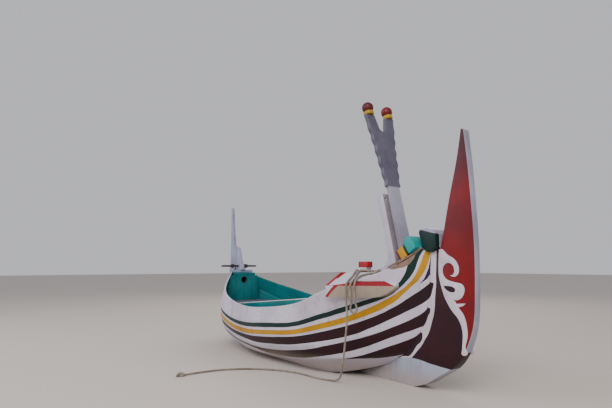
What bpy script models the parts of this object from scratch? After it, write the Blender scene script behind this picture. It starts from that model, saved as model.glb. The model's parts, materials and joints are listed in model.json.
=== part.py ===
"""Double-ended plank boat of the beach outrigger-canoe type, standing upright on its flat bottom.

Metres, +X towards the bow, +Y to port, +Z up. The origin is on the floor, on the centre plane, half-way
between the aft edge of the stern post and the front edge of the bow fin.
"""

import math
from collections import namedtuple

import bmesh
import bpy
import numpy as np
from mathutils import Vector

# Whole boat
LENGTH = 5.0  # stern post's aft edge to bow fin's front edge
BEAM = 1.58  # greatest width over the planks
DEPTH = 0.70  # floor to the sheer amidships
GAP = 0.0003  # between pieces that touch
PLANK = 0.025  # thickness of a side plank
BOTTOM = 0.035  # thickness of the bottom plank
SPANS = 22  # facets along a plank

# The lines below are drawn for a boat of these sizes, and the sizes above stretch them
DRAWN_LENGTH, DRAWN_BEAM, DRAWN_DEPTH = 5.0, 1.58, 0.70
LONG, WIDE, HIGH = LENGTH / DRAWN_LENGTH, BEAM / DRAWN_BEAM, DEPTH / DRAWN_DEPTH

# Six seams a side, from the edge of the flat bottom up to the sheer
SEAMS = ("bottom_edge", "garboard_top", "lower_top", "middle_top", "upper_top", "sheer")

# Each rabbet's x, seam by seam, measured from where it meets the sheer
STERN_RAKE = (0.38, 0.18, 0.08, 0.03, 0.0, 0.0)
BOW_RAKE = (-0.636, -0.336, -0.166, -0.076, -0.03, 0.0)

# x: place at the sheer; lean: share of the nearer rabbet's rake that the section takes;
# breadths and heights: half-breadth and height of the six seams
Section = namedtuple("Section", "x lean breadths heights")
SECTIONS = (
    Section(-2.33, 1.0, (0.04, 0.04, 0.04, 0.04, 0.04, 0.04), (0.20, 0.42, 0.64, 0.83, 1.00, 1.16)),
    Section(-1.92, 0.6, (0.22, 0.36, 0.42, 0.43, 0.42, 0.36), (0.11, 0.235, 0.39, 0.555, 0.73, 0.967)),
    Section(-1.30, 0.0, (0.34, 0.53, 0.63, 0.69, 0.71, 0.68), (0.025, 0.135, 0.25, 0.385, 0.55, 0.783)),
    Section(-0.60, 0.0, (0.42, 0.65, 0.73, 0.77, 0.785, 0.77), (0.0, 0.10, 0.205, 0.32, 0.478, 0.672)),
    Section(0.10, 0.0, (0.42, 0.65, 0.74, 0.78, 0.79, 0.78), (0.0, 0.125, 0.255, 0.375, 0.513, 0.70)),
    Section(0.65, 0.0, (0.40, 0.60, 0.68, 0.70, 0.71, 0.74), (0.0, 0.16, 0.305, 0.429, 0.563, 0.78)),
    Section(1.25, 0.0, (0.16, 0.38, 0.45, 0.49, 0.55, 0.64), (0.11, 0.235, 0.43, 0.60, 0.79, 0.985)),
    Section(1.68, 0.55, (0.10, 0.20, 0.23, 0.25, 0.28, 0.29), (0.13, 0.29, 0.51, 0.73, 0.95, 1.17)),
    Section(2.036, 1.0, (0.075, 0.075, 0.075, 0.075, 0.075, 0.075), (0.161, 0.335, 0.55, 0.79, 1.07, 1.42)),
)
ROCKER_AFT = -1.0  # the bottom is flat on the floor from here
ROCKER_FORE = 0.70  # to here
ROCKER_POWER = 1.6
HEEL_LEAST = 0.006  # the stem and the stern post run in under the bottom down to this thickness
HULL_CLEAR = 0.0005  # between the planks' facets and what is fitted to them
RAISED = 0.5  # the inside guide reaches this far above the sheer
CUT_SPARE = 0.1  # how far a guide runs on past what it cuts

# Bow stem with its fin: (x, z) from the heel up the cutwater to the height of the planks' head
STEM_THICK = 0.15
CUTWATER = (
    (1.746, 0.0), (1.903, 0.05), (2.026, 0.122), (2.129, 0.185), (2.228, 0.25), (2.298, 0.32), (2.356, 0.403),
    (2.413, 0.518), (2.459, 0.661), (2.486, 0.90), (2.497, 1.15), (2.50, 1.42),
)
# The fin above the head, measured from the head: (x, z) up its front edge, then down its back edge
FIN_FRONT = ((0.452, 0.34), (0.432, 0.72), (0.402, 1.06))
FIN_BACK = ((0.376, 1.072), (0.327, 0.82), (0.245, 0.50), (0.182, 0.246), (0.135, 0.04), (0.112, -0.05))
STEM_FRONT_THICK = 0.075  # the stem and its fin thin to this along their front edge
STEM_TAPER_FROM = 0.08  # starting this far forward of the head

# Stern post: (x, z) down the aft edge from the height of the planks' head to the floor
POST_THICK = 0.08
STERN_EDGE = (
    (-2.50, 1.16), (-2.485, 0.90), (-2.45, 0.66), (-2.39, 0.46), (-2.29, 0.29), (-2.15, 0.155), (-1.98, 0.06),
    (-1.80, 0.0),
)
# The stepped fin, measured from the head: (x, z) up its front edge, over the step and back
STERN_FIN = (
    (0.276, 0.02), (0.223, 0.103), (0.131, 0.33), (0.078, 0.357), (-0.032, 0.376), (-0.065, 0.54),
    (-0.135, 1.04), (-0.165, 1.04),
)
STERN_FIN_FOOT = (0.05, 0.276)  # x, from the head, of the foot that stands on the breasthook
STERN_FIN_THICK = 0.04
STERN_FIN_CUT = 0.01  # the fin thins this far below the head

# Inside the hull
FRAME_XS = (-0.90, -0.30, 0.30, 0.85)
FRAME_WIDE = 0.045
FRAME_DEEP = 0.055
FRAME_BELOW_SHEER = 0.03
BEAM_XS = (-1.12, -0.60, 0.0, 0.58)
BEAM_WIDE = 0.09
BEAM_THICK = 0.045
COAMING_Y = 0.56 * WIDE  # outer face
COAMING_THICK = 0.028
COAMING_HIGH = 0.12
COAMING_ENDS = ((-1.22 * LONG, 0.65 * HIGH), (0.65 * LONG, 0.825 * HIGH))  # (x, z) of the top edge
AFT_DECK_TOP = 0.63 * HIGH
AFT_DECK_THICK = 0.025
BULKHEAD_X = -2.02
BULKHEAD_THICK = 0.022
BULKHEAD_TOP = 1.03 * HIGH
BULKHEAD_BELOW = 0.10  # how far it reaches below the deck
BULKHEAD_HOLE = 0.045  # radius
BULKHEAD_HOLE_Z = 0.96 * HIGH
FLOOR_BOARD_ENDS = (-0.98, 0.66)
FLOOR_BOARD_THICK = 0.018
FLOOR_BOARD_WIDE = 0.22
FLOOR_BOARD_Y = 0.14  # centre line of each floor board
FLOOR_BOARD_RISE = 0.001  # above the frames' floors
BREASTHOOK_TOP = 1.12 * HIGH
BREASTHOOK_THICK = 0.045
BREASTHOOK_FRONT = -2.09

# Bar through the stern fin, with a lashing on each arm
BAR_AT = (0.12, 0.024)  # (x, z) from the head
BAR_RADIUS = 0.016
BAR_FIT = 0.0006
BAR_HALF = 0.33
LASH_Y = 0.13
LASH_HALF = 0.03
LASH_RADIUS = 0.038

# Foredeck and the blocks along its sides
DECK_FORE = 1.78 * LONG
DECK_TOP = 1.125 * HIGH
DECK_THICK = 0.035
BLOCK_AFT, BLOCK_FORE = 1.17 * LONG, 1.74 * LONG
BLOCK_PROUD_AFT, BLOCK_PROUD_FORE = 0.055, 0.035  # how far the outer face stands out from the sheer
BLOCK_BOTTOM = 0.87 * HIGH
BLOCK_EDGE_Z = 0.99 * HIGH  # where the upright face turns into the slope
BLOCK_SLOPE_WIDE = 0.15
BLOCK_END_LEAN = 0.07  # how far the aft end leans over its height
BLOCK_RISE_FROM = 1.54 * LONG  # forward of here the underside curves up towards the edge
BLOCK_RISE = 0.86  # share of the upright face that it takes away at the fore end
BLOCK_RISE_STEPS = 6
DECK_BEAM_DEEP = 0.24

# Cleat on each side of the foredeck
CLEAT_X = 1.365 * LONG
CLEAT_LONG = 0.14
CLEAT_Y = 0.34 * WIDE
CLEAT_WIDE = 0.08
CLEAT_HIGH = 0.1117
CLEAT_NECK = 0.022  # how far the neck is set in under the head
CLEAT_HEAD_HIGH = 0.062

# Rails on the sheer near the bow, and the beams on them
RAIL_FORE_S = -0.10  # where the rail stops short of the cap
RAIL_LONG = 0.294  # from there aft, on plan
RAIL_THICK = 0.024
RAIL_OVER = 0.008  # overhang each side of the plank
RAIL_SEAT = 0.0008  # room under the rail for the twist of the sheer
RAIL_RUN = 0.32  # the stretch whose slope the beams follow
RAIL_SPARE = 0.004  # room round the rail in the beams' notches
BEAM_NOTCH = 0.006  # how deep the beams sit down over the rails
BOW_BEAM_HALF = 0.20
CAP_HALF = 0.13
CAP_OVER_STEM = 0.004
# Side views of the beams: (along the rail from the head, height above it)
YELLOW_BEAM = ((-0.352, 0.0), (-0.246, 0.0), (-0.246, 0.12), (-0.352, 0.12))
TURQUOISE_BEAM = ((-0.232, 0.0), (-0.108, 0.0), (-0.098, 0.075), (-0.115, 0.15), (-0.20, 0.15), (-0.238, 0.09))
CAP_BEAM = (
    (-0.085, -0.032), (-0.055, -0.085), (-0.010, -0.100), (0.045, -0.100), (0.122, 0.008), (0.118, 0.064),
    (0.075, 0.120), (-0.009, 0.168), (-0.042, 0.148),
)

# Short raked post with its knee: its side view from the toe of the knee, as (x, z) from the foot's middle
SHORT_POST_X = 1.53 * LONG
SHORT_POST_WIDE = 0.15
SHORT_POST = (
    (-0.325, 0.0), (0.048, 0.0), (0.015, 0.125), (-0.155, 0.845), (-0.175, 0.865), (-0.235, 0.865),
    (-0.252, 0.845), (-0.095, 0.20), (-0.105, 0.12), (-0.16, 0.05), (-0.31, 0.012),
)
POST_HOLE_RADIUS = 0.017
POST_HOLE_AT = (-0.20, 0.805)
POST_HOLE_Y = -0.045

# Forked board, leaning aft like the post
FORK_FOOT_X = 1.678 * LONG
FORK_LEAN = math.radians(13.36)
FORK_THICK = 0.05
FORK_THROAT = 1.635  # from the foot up to the bottom of the throat
FORK_THROAT_HALF = 0.055
FORK_PRONG_LONG = 0.192  # above the bottom of the throat
FORK_PRONG_OUT = 0.15
FORK_PRONG_HALF = 0.062
FORK_NECK_HALF = 0.078
# Up one edge of the board from the top of its neck: (half-width, distance above the bottom of the throat)
FORK_EDGE = (
    (FORK_NECK_HALF, -0.695), (0.105, -0.67), (0.098, -0.60), (0.118, -0.54), (0.112, -0.47), (0.136, -0.40),
    (0.128, -0.33), (0.152, -0.26), (0.145, -0.19), (0.171, -0.12), (0.167, -0.06), (0.190, 0.01), (0.194, 0.08),
)
COLLAR_RADIUS = 0.058
COLLAR_HIGH = 0.045
BALL_RADIUS = 0.067
BALL_SEAT = 0.75  # share of the ball's radius from its centre down to its flat seat

# Rope hitched over the starboard block, its tail hanging to the sand and lying along it
ROPE = 0.0105  # radius
HITCH_X = 1.43  # the first of three lanes over the block
HITCH_PITCH = 0.034
HITCH_CLEAR = 0.0025
HITCH_LEAD = ((1.53, -0.345, 1.115), (1.49, -0.38, 1.115), (1.452, -0.43, 1.103))
BIGHT = ((0.028, 0.05), (0.048, 0.105), (0.034, 0.14), (0.0, 0.154), (-0.034, 0.14), (-0.048, 0.105), (-0.028, 0.05))
CLEAT_LOOP = 0.084  # radius of the turn round the cleat's neck
CLEAT_LOOP_AT = (-12, 20, 55, 90, 125, 160, 198)  # degrees round it
TAIL_ROUTE = (
    (1.41, -0.64, 0.70), (1.40, -0.65, 0.50), (1.37, -0.648, 0.33), (1.315, -0.635, 0.155), (1.255, -0.615, 0.062),
    (1.18, -0.61, 0.0215), (1.08, -0.64, 0.0128), (0.95, -0.675, 0.0125), (0.80, -0.692, 0.0125), (0.65, -0.71, 0.0125),
    (0.42, -0.80, 0.0125), (0.22, -0.954, 0.0125), (0.08, -1.14, 0.0125), (0.0, -1.36, 0.0125),
    (-0.012, -1.63, 0.0125), (0.005, -1.87, 0.0125),
)
ROPE_POINTS = (50, 29)  # along the hitch, and along the tail

# Finishes: colour, roughness, metallic
Finish = namedtuple("Finish", "colour roughness metallic")
FINISHES = {
    "white_paint": Finish((0.72, 0.70, 0.74), 0.5, 0.0),
    "green_paint": Finish((0.03, 0.13, 0.11), 0.5, 0.0),
    "yellow_paint": Finish((0.72, 0.47, 0.03), 0.5, 0.0),
    "maroon_paint": Finish((0.07, 0.02, 0.03), 0.5, 0.0),
    "red_paint": Finish((0.40, 0.02, 0.02), 0.5, 0.0),
    "blue_grey_paint": Finish((0.42, 0.46, 0.56), 0.5, 0.0),
    "teal_paint": Finish((0.0, 0.30, 0.33), 0.5, 0.0),
    "turquoise_paint": Finish((0.03, 0.45, 0.45), 0.5, 0.0),
    "beige_paint": Finish((0.55, 0.47, 0.38), 0.6, 0.0),
    "deck_paint": Finish((0.22, 0.28, 0.36), 0.6, 0.0),
    "bare_wood": Finish((0.30, 0.19, 0.10), 0.7, 0.0),
    "dark_wood": Finish((0.04, 0.03, 0.03), 0.7, 0.0),
    "rope": Finish((0.50, 0.44, 0.36), 0.9, 0.0),
}
STRAKES = ("garboard", "lower", "middle", "upper", "wash")
STRAKE_FINISHES = ("white_paint", "maroon_paint", "maroon_paint", "yellow_paint", "white_paint")
SIDES = (("starboard", -1), ("port", 1))


def material(name):
    """The named finish as a material, made once."""
    found = bpy.data.materials.get(name)
    if found:
        return found
    made = bpy.data.materials.new(name)
    made.use_nodes = True
    finish = FINISHES[name]
    shader = made.node_tree.nodes["Principled BSDF"]
    shader.inputs["Base Color"].default_value = (*finish.colour, 1.0)
    shader.inputs["Roughness"].default_value = finish.roughness
    shader.inputs["Metallic"].default_value = finish.metallic
    made.diffuse_color = (*finish.colour, 1.0)
    return made


def add_object(name, bm, finish=None):
    """Turns a bmesh into an object with its faces out; with no finish it is a guide that is left out."""
    bmesh.ops.recalc_face_normals(bm, faces=bm.faces)
    mesh = bpy.data.meshes.new(name)
    bm.to_mesh(mesh)
    bm.free()
    made = bpy.data.objects.new(name, mesh)
    bpy.context.scene.collection.objects.link(made)
    if finish:
        mesh.materials.append(material(finish))
    else:
        made.hide_render = True
        made.display_type = "WIRE"
    return made


def boolean(target, guide, operation, solver="EXACT"):
    """Adds a Boolean to target."""
    modifier = target.modifiers.new(operation.title(), "BOOLEAN")
    modifier.operation = operation
    modifier.solver = solver
    modifier.object = guide


def loft(name, rings, finish=None, ladder=False):
    """A closed solid through rings of as many points each, capped at both ends, or by a ladder of quads."""
    bm = bmesh.new()
    rows = [[bm.verts.new(point) for point in ring] for ring in rings]
    count = len(rows[0])
    for one, two in zip(rows, rows[1:]):
        for i in range(count):
            j = (i + 1) % count
            bm.faces.new((one[i], one[j], two[j], two[i]))
    for row in (rows[0], rows[-1]):
        if ladder:
            for i in range(count // 2 - 1):
                bm.faces.new((row[i], row[i + 1], row[count - 2 - i], row[count - 1 - i]))
        else:
            bm.faces.new(row)
    bm.normal_update()
    bmesh.ops.triangulate(bm, faces=bm.faces)
    return add_object(name, bm, finish)


def prism(name, outline, low, high, finish=None):
    """The (x, z) outline carried along Y from low to high."""
    rings = [[(x, y, z) for x, z in outline] for y in (low, high)]
    return loft(name, rings, finish)


def box(name, xs, ys, zs, finish=None):
    """A block between the low and high value on each axis."""
    outline = ((xs[0], zs[0]), (xs[1], zs[0]), (xs[1], zs[1]), (xs[0], zs[1]))
    return prism(name, outline, ys[0], ys[1], finish)


def natural_spline(knots, values):
    """The natural cubic spline through the values, as a function of the knot's measure."""
    knots = np.array(knots)
    values = np.array(values)
    step = np.diff(knots)
    slope = np.diff(values) / step
    size = len(knots)
    matrix = np.eye(size)
    right = np.zeros(size)
    for i in range(1, size - 1):
        matrix[i, i - 1] = step[i - 1]
        matrix[i, i] = 2 * (step[i - 1] + step[i])
        matrix[i, i + 1] = step[i]
        right[i] = 6 * (slope[i] - slope[i - 1])
    bend = np.linalg.solve(matrix, right)

    def curve(at):
        i = int(np.clip(np.searchsorted(knots, at) - 1, 0, size - 2))
        a = knots[i + 1] - at
        b = at - knots[i]
        h = step[i]
        straight = (values[i] / h - bend[i] * h / 6) * a + (values[i + 1] / h - bend[i + 1] * h / 6) * b
        return float(straight + (bend[i] * a**3 + bend[i + 1] * b**3) / (6 * h))

    return curve


class Hull:
    """The hull's seams as fair curves, and the guides that pieces are fitted to."""

    def __init__(self):
        middle = [section.x for section in SECTIONS]
        self.knots = middle
        self.seams = [self.seam(k) for k in range(len(SEAMS))]
        self.stations = np.linspace(middle[0], middle[-1], SPANS + 1)
        self.points = [[self.at(k, t) for t in self.stations] for k in range(len(SEAMS))]
        self.mitres = [[self.mitre(k, t) for t in self.stations] for k in range(len(SEAMS))]

    def section_x(self, section, k):
        rake = STERN_RAKE if section.x < 0 else BOW_RAKE
        return LONG * (section.x + section.lean * rake[k])

    def half_breadth(self, section, k):
        """The ends lie on the faces of the stem and the stern post, whatever the beam."""
        if section is SECTIONS[0]:
            return POST_THICK / 2
        if section is SECTIONS[-1]:
            return STEM_THICK / 2
        return WIDE * section.breadths[k]

    def seam(self, k):
        xs = natural_spline(self.knots, [self.section_x(section, k) for section in SECTIONS])
        ys = natural_spline(self.knots, [self.half_breadth(section, k) for section in SECTIONS])
        zs = natural_spline(self.knots, [HIGH * section.heights[k] for section in SECTIONS])
        return xs, ys, zs

    def rocker(self, x):
        """Height of the flat bottom at x: nought amidships, rising to each rabbet."""
        last = -1 if x > 0 else 0
        start = (ROCKER_FORE if x > 0 else ROCKER_AFT) * LONG
        end = self.section_x(SECTIONS[last], 0)
        share = max(0.0, (x - start) / (end - start))
        return HIGH * SECTIONS[last].heights[0] * share**ROCKER_POWER

    def at(self, k, t):
        xs, ys, zs = self.seams[k]
        x = xs(t)
        return Vector((x, ys(t), zs(t) if k else self.rocker(x)))

    def normal(self, k, t):
        """Outward normal of the plank above seam k; k = -1 is the flat bottom."""
        step = 1e-3
        low = max(self.stations[0], t - step)
        top = min(self.stations[-1], t + step)
        if k < 0:
            along = self.at(0, top) - self.at(0, low)
            return along.cross(Vector((0, 1, 0))).normalized() * -1
        along = (self.at(k, top) - self.at(k, low)) + (self.at(k + 1, top) - self.at(k + 1, low))
        across = self.at(k + 1, t) - self.at(k, t)
        return across.cross(along).normalized()

    def mitre(self, k, t):
        """The outward step at seam k that offsets both its planks by one unit."""
        above = self.normal(min(k, len(SEAMS) - 2), t)
        below = self.normal(k - 1, t) if k else self.normal(-1, t)
        return (above + below) / (1 + above.dot(below))

    def offset(self, k, i, depth):
        """Station i of seam k, moved inwards by depth."""
        return self.points[k][i] - self.mitres[k][i] * depth

    def locate(self, k, x, depth=0.0):
        """(half-breadth, height) of seam k's facets at x, offset inwards by depth."""
        line = [self.offset(k, i, depth) for i in range(SPANS + 1)]
        xs = [point.x for point in line]
        y = float(np.interp(x, xs, [point.y for point in line]))
        z = float(np.interp(x, xs, [point.z for point in line]))
        return y, z

    def guide(self, name, depth, raised):
        """The closed body inside the planks, offset inwards by depth, its top raised above the sheer.

        With no rise it wraps the planks themselves, over their top edges.
        """
        rings = []
        for i in range(SPANS + 1):
            half = [self.offset(k, i, depth if k else max(depth, 0) + BOTTOM - PLANK) for k in range(len(SEAMS))]
            half = [Vector((p.x, max(p.y, 0.004), p.z)) for p in half]
            if raised:
                half.append(half[-1] + Vector((0, 0, raised)))
            else:
                lift = Vector((0, 0, GAP))
                half[-1] += lift
                half.append(self.offset(-1, i, PLANK) + lift)
            port = [tuple(p) for p in half]
            starboard = [(p.x, -p.y, p.z) for p in reversed(half)]
            rings.append(starboard + port)
        return loft(name, rings, ladder=True)

    def index_at(self, x):
        """The fractional station where the sheer's outer edge is at x."""
        return float(np.interp(x, [p.x for p in self.points[-1]], range(SPANS + 1)))

    def between(self, k, index, depth=0.0):
        """The point of seam k's facets at a fractional station."""
        low = min(int(index), SPANS - 1)
        return self.offset(k, low, depth).lerp(self.offset(k, low + 1, depth), index - low)

    def indices(self, x_low, x_high):
        """Fractional stations from x_low to x_high on the sheer, with every whole one between."""
        low, high = self.index_at(x_low), self.index_at(x_high)
        return [low, *range(math.floor(low) + 1, math.ceil(high)), high]

    def sheer_z(self, x):
        return self.locate(len(SEAMS) - 1, x)[1]

    def head(self, end):
        """Where the rabbet meets the sheer: end 0 is the stern, -1 the bow."""
        return self.points[-1][end]

    def block_y(self, x):
        """Outer face of the side block at x: the sheer's half-breadth and how far the block stands proud."""
        share = (x - BLOCK_AFT) / (BLOCK_FORE - BLOCK_AFT)
        proud = BLOCK_PROUD_AFT + share * (BLOCK_PROUD_FORE - BLOCK_PROUD_AFT)
        return self.locate(len(SEAMS) - 1, x)[0] + proud


def clear_scene():
    for old in list(bpy.data.objects):
        bpy.data.objects.remove(old, do_unlink=True)


def make_strakes(hull):
    """Five planks a side, each between two seams, mitred to its neighbours."""
    for side_name, side in SIDES:
        for k, strake in enumerate(STRAKES):
            rings = []
            for i in range(SPANS + 1):
                low_out, high_out = hull.points[k][i], hull.points[k + 1][i]
                low_in, high_in = hull.offset(k, i, PLANK), hull.offset(k + 1, i, PLANK)
                up_out = (high_out - low_out).normalized() * GAP
                up_in = (high_in - low_in).normalized() * GAP
                ring = (low_out + up_out, high_out - up_out, high_in - up_in, low_in + up_in)
                rings.append([(p.x, side * p.y, p.z) for p in ring])
            loft(f"strake_{strake}_{side_name}", rings, STRAKE_FINISHES[k])


def make_bottom(hull):
    """The flat bottom plank, rockered at both ends."""
    rings = []
    for i in range(SPANS + 1):
        low = hull.points[0][i] - Vector((0, GAP, 0))
        top = hull.offset(0, i, PLANK) - Vector((0, GAP, 0))
        top = low + (top - low) * (BOTTOM / PLANK)
        rings.append([(low.x, -low.y, low.z), (low.x, low.y, low.z), (top.x, top.y, top.z), (top.x, -top.y, top.z)])
    loft("bottom_plank", rings, "blue_grey_paint")


def coaming_top(x):
    (aft_x, aft_z), (fore_x, fore_z) = COAMING_ENDS
    return aft_z + (x - aft_x) / (fore_x - aft_x) * (fore_z - aft_z)


def under_bottom(hull, end):
    """(x, z) just under the bottom plank, from the rabbet inwards, until the plank is all but on the floor."""
    stations = range(SPANS, 0, -1) if end else range(SPANS)
    line = [hull.points[0][i] for i in stations]
    kept = [p for p in line if p.z > HEEL_LEAST and (p.x > 0) == bool(end)]
    sign = 1 if end else -1
    return [(line[0].x + sign * 2 * GAP, line[0].z - 2 * GAP)] + [(p.x, p.z - 2 * GAP) for p in kept[1:]]


def make_stem(hull):
    """Bow stem, forefoot and tall fin in one board that thins to its front edge."""
    head = hull.head(-1)
    outline = [(x * LONG, z * HIGH) for x, z in CUTWATER]
    outline += [(head.x + x, head.z + z) for x, z in FIN_FRONT]
    outline += [(head.x + x, head.z + z) for x, z in FIN_BACK]
    outline += [(hull.points[k][-1].x + 2 * GAP, hull.points[k][-1].z) for k in range(len(SEAMS) - 1, 0, -1)]
    under = under_bottom(hull, 1)
    outline += under + [(under[-1][0], 0.0)]
    half = STEM_THICK / 2
    stem = prism("bow_stem_fin", outline, -half, half, "red_paint")
    top = head.z + FIN_FRONT[-1][1] + CUT_SPARE
    start, fore = head.x + STEM_TAPER_FROM, CUTWATER[-1][0] * LONG
    slope = (half - STEM_FRONT_THICK / 2) / (fore - start)
    past = fore + CUT_SPARE
    for side_name, side in SIDES:
        plan = ((start, half), (past, half - slope * (past - start)), (past, 2 * half), (start, 2 * half))
        rings = [[(x, side * y, z) for x, y in plan] for z in (-CUT_SPARE, top)]
        boolean(stem, loft(f"guide_taper_{side_name}", rings), "DIFFERENCE")


def make_stern_post(hull):
    """Stern post with its heel and the stepped fin above the sheer, bored for the bar."""
    head = hull.head(0)
    foot = [(head.x + x, BREASTHOOK_TOP + GAP) for x in STERN_FIN_FOOT]
    outline = [(foot[0][0], head.z)] + foot + [(head.x + x, head.z + z) for x, z in STERN_FIN]
    outline += [(x * LONG, z * HIGH) for x, z in STERN_EDGE]
    under = under_bottom(hull, 0)
    outline += [(under[-1][0], 0.0)] + under[::-1]
    outline += [(hull.points[k][0].x - 2 * GAP, hull.points[k][0].z) for k in range(1, len(SEAMS))]
    half = POST_THICK / 2
    post = prism("stern_post", outline, -half, half, "blue_grey_paint")
    for side_name, side in SIDES:
        ys = sorted((side * STERN_FIN_THICK / 2, side * POST_THICK))
        zs = (head.z - STERN_FIN_CUT, head.z + STERN_FIN[-1][1] + CUT_SPARE)
        thinner = box(f"guide_fin_{side_name}", (-LENGTH, foot[1][0] + CUT_SPARE), ys, zs)
        boolean(post, thinner, "DIFFERENCE")
    bore = cylinder("guide_bar_bore", BAR_RADIUS + BAR_FIT, 2 * POST_THICK, bar_centre(hull), "Y")
    boolean(post, bore, "DIFFERENCE")


def bar_centre(hull):
    head = hull.head(0)
    return Vector((head.x + BAR_AT[0], 0, head.z + BAR_AT[1]))


def cylinder(name, radius, length, centre, axis, finish=None, sides=16):
    """A round bar of the given length about its centre, along Y or Z or X."""
    rings = []
    for step in (-0.5, 0.5):
        ring = []
        for i in range(sides):
            angle = 2 * math.pi * (i + 0.5) / sides
            a, b = radius * math.cos(angle), radius * math.sin(angle)
            along = step * length
            local = {"X": (along, a, b), "Y": (a, along, b), "Z": (a, b, along)}[axis]
            ring.append(tuple(centre + Vector(local)))
        rings.append(ring)
    return loft(name, rings, finish)


def make_frames(hull, inside, inner):
    """Frames whose floors and arms follow the planks, and straight beams above them."""
    for number, x in enumerate(FRAME_XS, 1):
        top = hull.sheer_z(x * LONG) - FRAME_BELOW_SHEER
        middle = x * LONG
        frame = box(f"frame_{number}", (middle - FRAME_WIDE / 2, middle + FRAME_WIDE / 2), (-BEAM, BEAM),
                    (-BEAM, top), "teal_paint")
        boolean(frame, inside, "INTERSECT")
        boolean(frame, inner, "DIFFERENCE")
    for number, x in enumerate(BEAM_XS, 1):
        middle = x * LONG
        low, high = middle - BEAM_WIDE / 2, middle + BEAM_WIDE / 2
        top = coaming_top(low) - COAMING_HIGH - GAP
        beam = box(f"beam_{number}", (low, high), (-BEAM, BEAM), (top - BEAM_THICK, top), "teal_paint")
        boolean(beam, inside, "INTERSECT")


def make_coamings():
    """A board on edge along each side of the hold, on the beams."""
    (aft_x, aft_z), (fore_x, fore_z) = COAMING_ENDS
    outline = ((aft_x, aft_z - COAMING_HIGH), (fore_x, fore_z - COAMING_HIGH), (fore_x, fore_z), (aft_x, aft_z))
    for side_name, side in SIDES:
        ys = sorted((side * COAMING_Y, side * (COAMING_Y - COAMING_THICK)))
        prism(f"coaming_{side_name}", outline, ys[0], ys[1], "teal_paint")


def make_aft_deck(hull, inside):
    """Aft deck on its beam, and the bulkhead with a round hole that closes the stern."""
    bulkhead_x = BULKHEAD_X * LONG
    fore = COAMING_ENDS[0][0] - GAP * 2
    deck = box("aft_deck", (bulkhead_x + GAP * 2, fore), (-BEAM, BEAM),
               (AFT_DECK_TOP - AFT_DECK_THICK, AFT_DECK_TOP), "deck_paint")
    boolean(deck, inside, "INTERSECT")
    low = AFT_DECK_TOP - AFT_DECK_THICK - GAP
    beam = box("deck_beam_aft", (fore - BEAM_WIDE, fore), (-BEAM, BEAM), (low - BEAM_THICK, low), "teal_paint")
    boolean(beam, inside, "INTERSECT")
    bulkhead = box("stern_bulkhead", (bulkhead_x - BULKHEAD_THICK, bulkhead_x), (-BEAM, BEAM),
                   (AFT_DECK_TOP - BULKHEAD_BELOW, BULKHEAD_TOP), "teal_paint")
    boolean(bulkhead, inside, "INTERSECT")
    centre = Vector((bulkhead_x - BULKHEAD_THICK / 2, 0, BULKHEAD_HOLE_Z))
    hole = cylinder("guide_bulkhead_hole", BULKHEAD_HOLE, 2 * BULKHEAD_THICK, centre, "X")
    boolean(bulkhead, hole, "DIFFERENCE")
    hook = box("breasthook", (-LENGTH / 2, BREASTHOOK_FRONT * LONG), (-BEAM, BEAM),
               (BREASTHOOK_TOP - BREASTHOOK_THICK, BREASTHOOK_TOP), "blue_grey_paint")
    boolean(hook, inside, "INTERSECT")


def make_floor_boards(hull):
    """Two boards lying on the frames' floors."""
    top = BOTTOM + FRAME_DEEP + FLOOR_BOARD_RISE
    xs = [x * LONG for x in FLOOR_BOARD_ENDS]
    for side_name, side in SIDES:
        ys = sorted((side * (FLOOR_BOARD_Y - FLOOR_BOARD_WIDE / 2), side * (FLOOR_BOARD_Y + FLOOR_BOARD_WIDE / 2)))
        box(f"floor_board_{side_name}", xs, ys, (top, top + FLOOR_BOARD_THICK), "deck_paint")


def make_stern_bar(hull):
    """The bar through the stern fin, with a lashing lump on each arm."""
    centre = bar_centre(hull)
    cylinder("stern_bar", BAR_RADIUS, 2 * BAR_HALF, centre, "Y", "dark_wood", 12)
    for side_name, side in SIDES:
        middle = centre + Vector((0, side * LASH_Y, 0))
        lump = cylinder(f"bar_lashing_{side_name}", LASH_RADIUS, 2 * LASH_HALF, middle, "Y", "dark_wood", 12)
        bore = cylinder(f"guide_lash_{side_name}", BAR_RADIUS + BAR_FIT, 3 * LASH_HALF, middle, "Y")
        boolean(lump, bore, "DIFFERENCE")


def block_bottom(x):
    """Height of the side block's underside at x."""
    share = max(0.0, (x - BLOCK_RISE_FROM) / (BLOCK_FORE - BLOCK_RISE_FROM))
    return BLOCK_BOTTOM + (BLOCK_EDGE_Z - BLOCK_BOTTOM) * BLOCK_RISE * share**2


def make_blocks(hull, envelope):
    """The block along each bow quarter: upright outer face, top sloping up to the foredeck."""
    for side_name, side in SIDES:
        rings = []
        level = [hull.between(-1, index).x for index in hull.indices(BLOCK_AFT, BLOCK_RISE_FROM)]
        for x in (*level, *np.linspace(BLOCK_RISE_FROM, BLOCK_FORE, BLOCK_RISE_STEPS + 1)[1:]):
            outer = hull.block_y(x)
            inner = outer - BLOCK_SLOPE_WIDE
            lean = BLOCK_END_LEAN if not rings else 0.0
            bottom = block_bottom(x)
            ring = ((x, outer, bottom), (x, outer, BLOCK_EDGE_Z), (x + lean, inner, DECK_TOP),
                    (x + lean, inner, bottom))
            rings.append([(a, side * b, c) for a, b, c in ring])
        block = loft(f"side_block_{side_name}", rings, "beige_paint")
        boolean(block, envelope, "DIFFERENCE")


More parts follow.
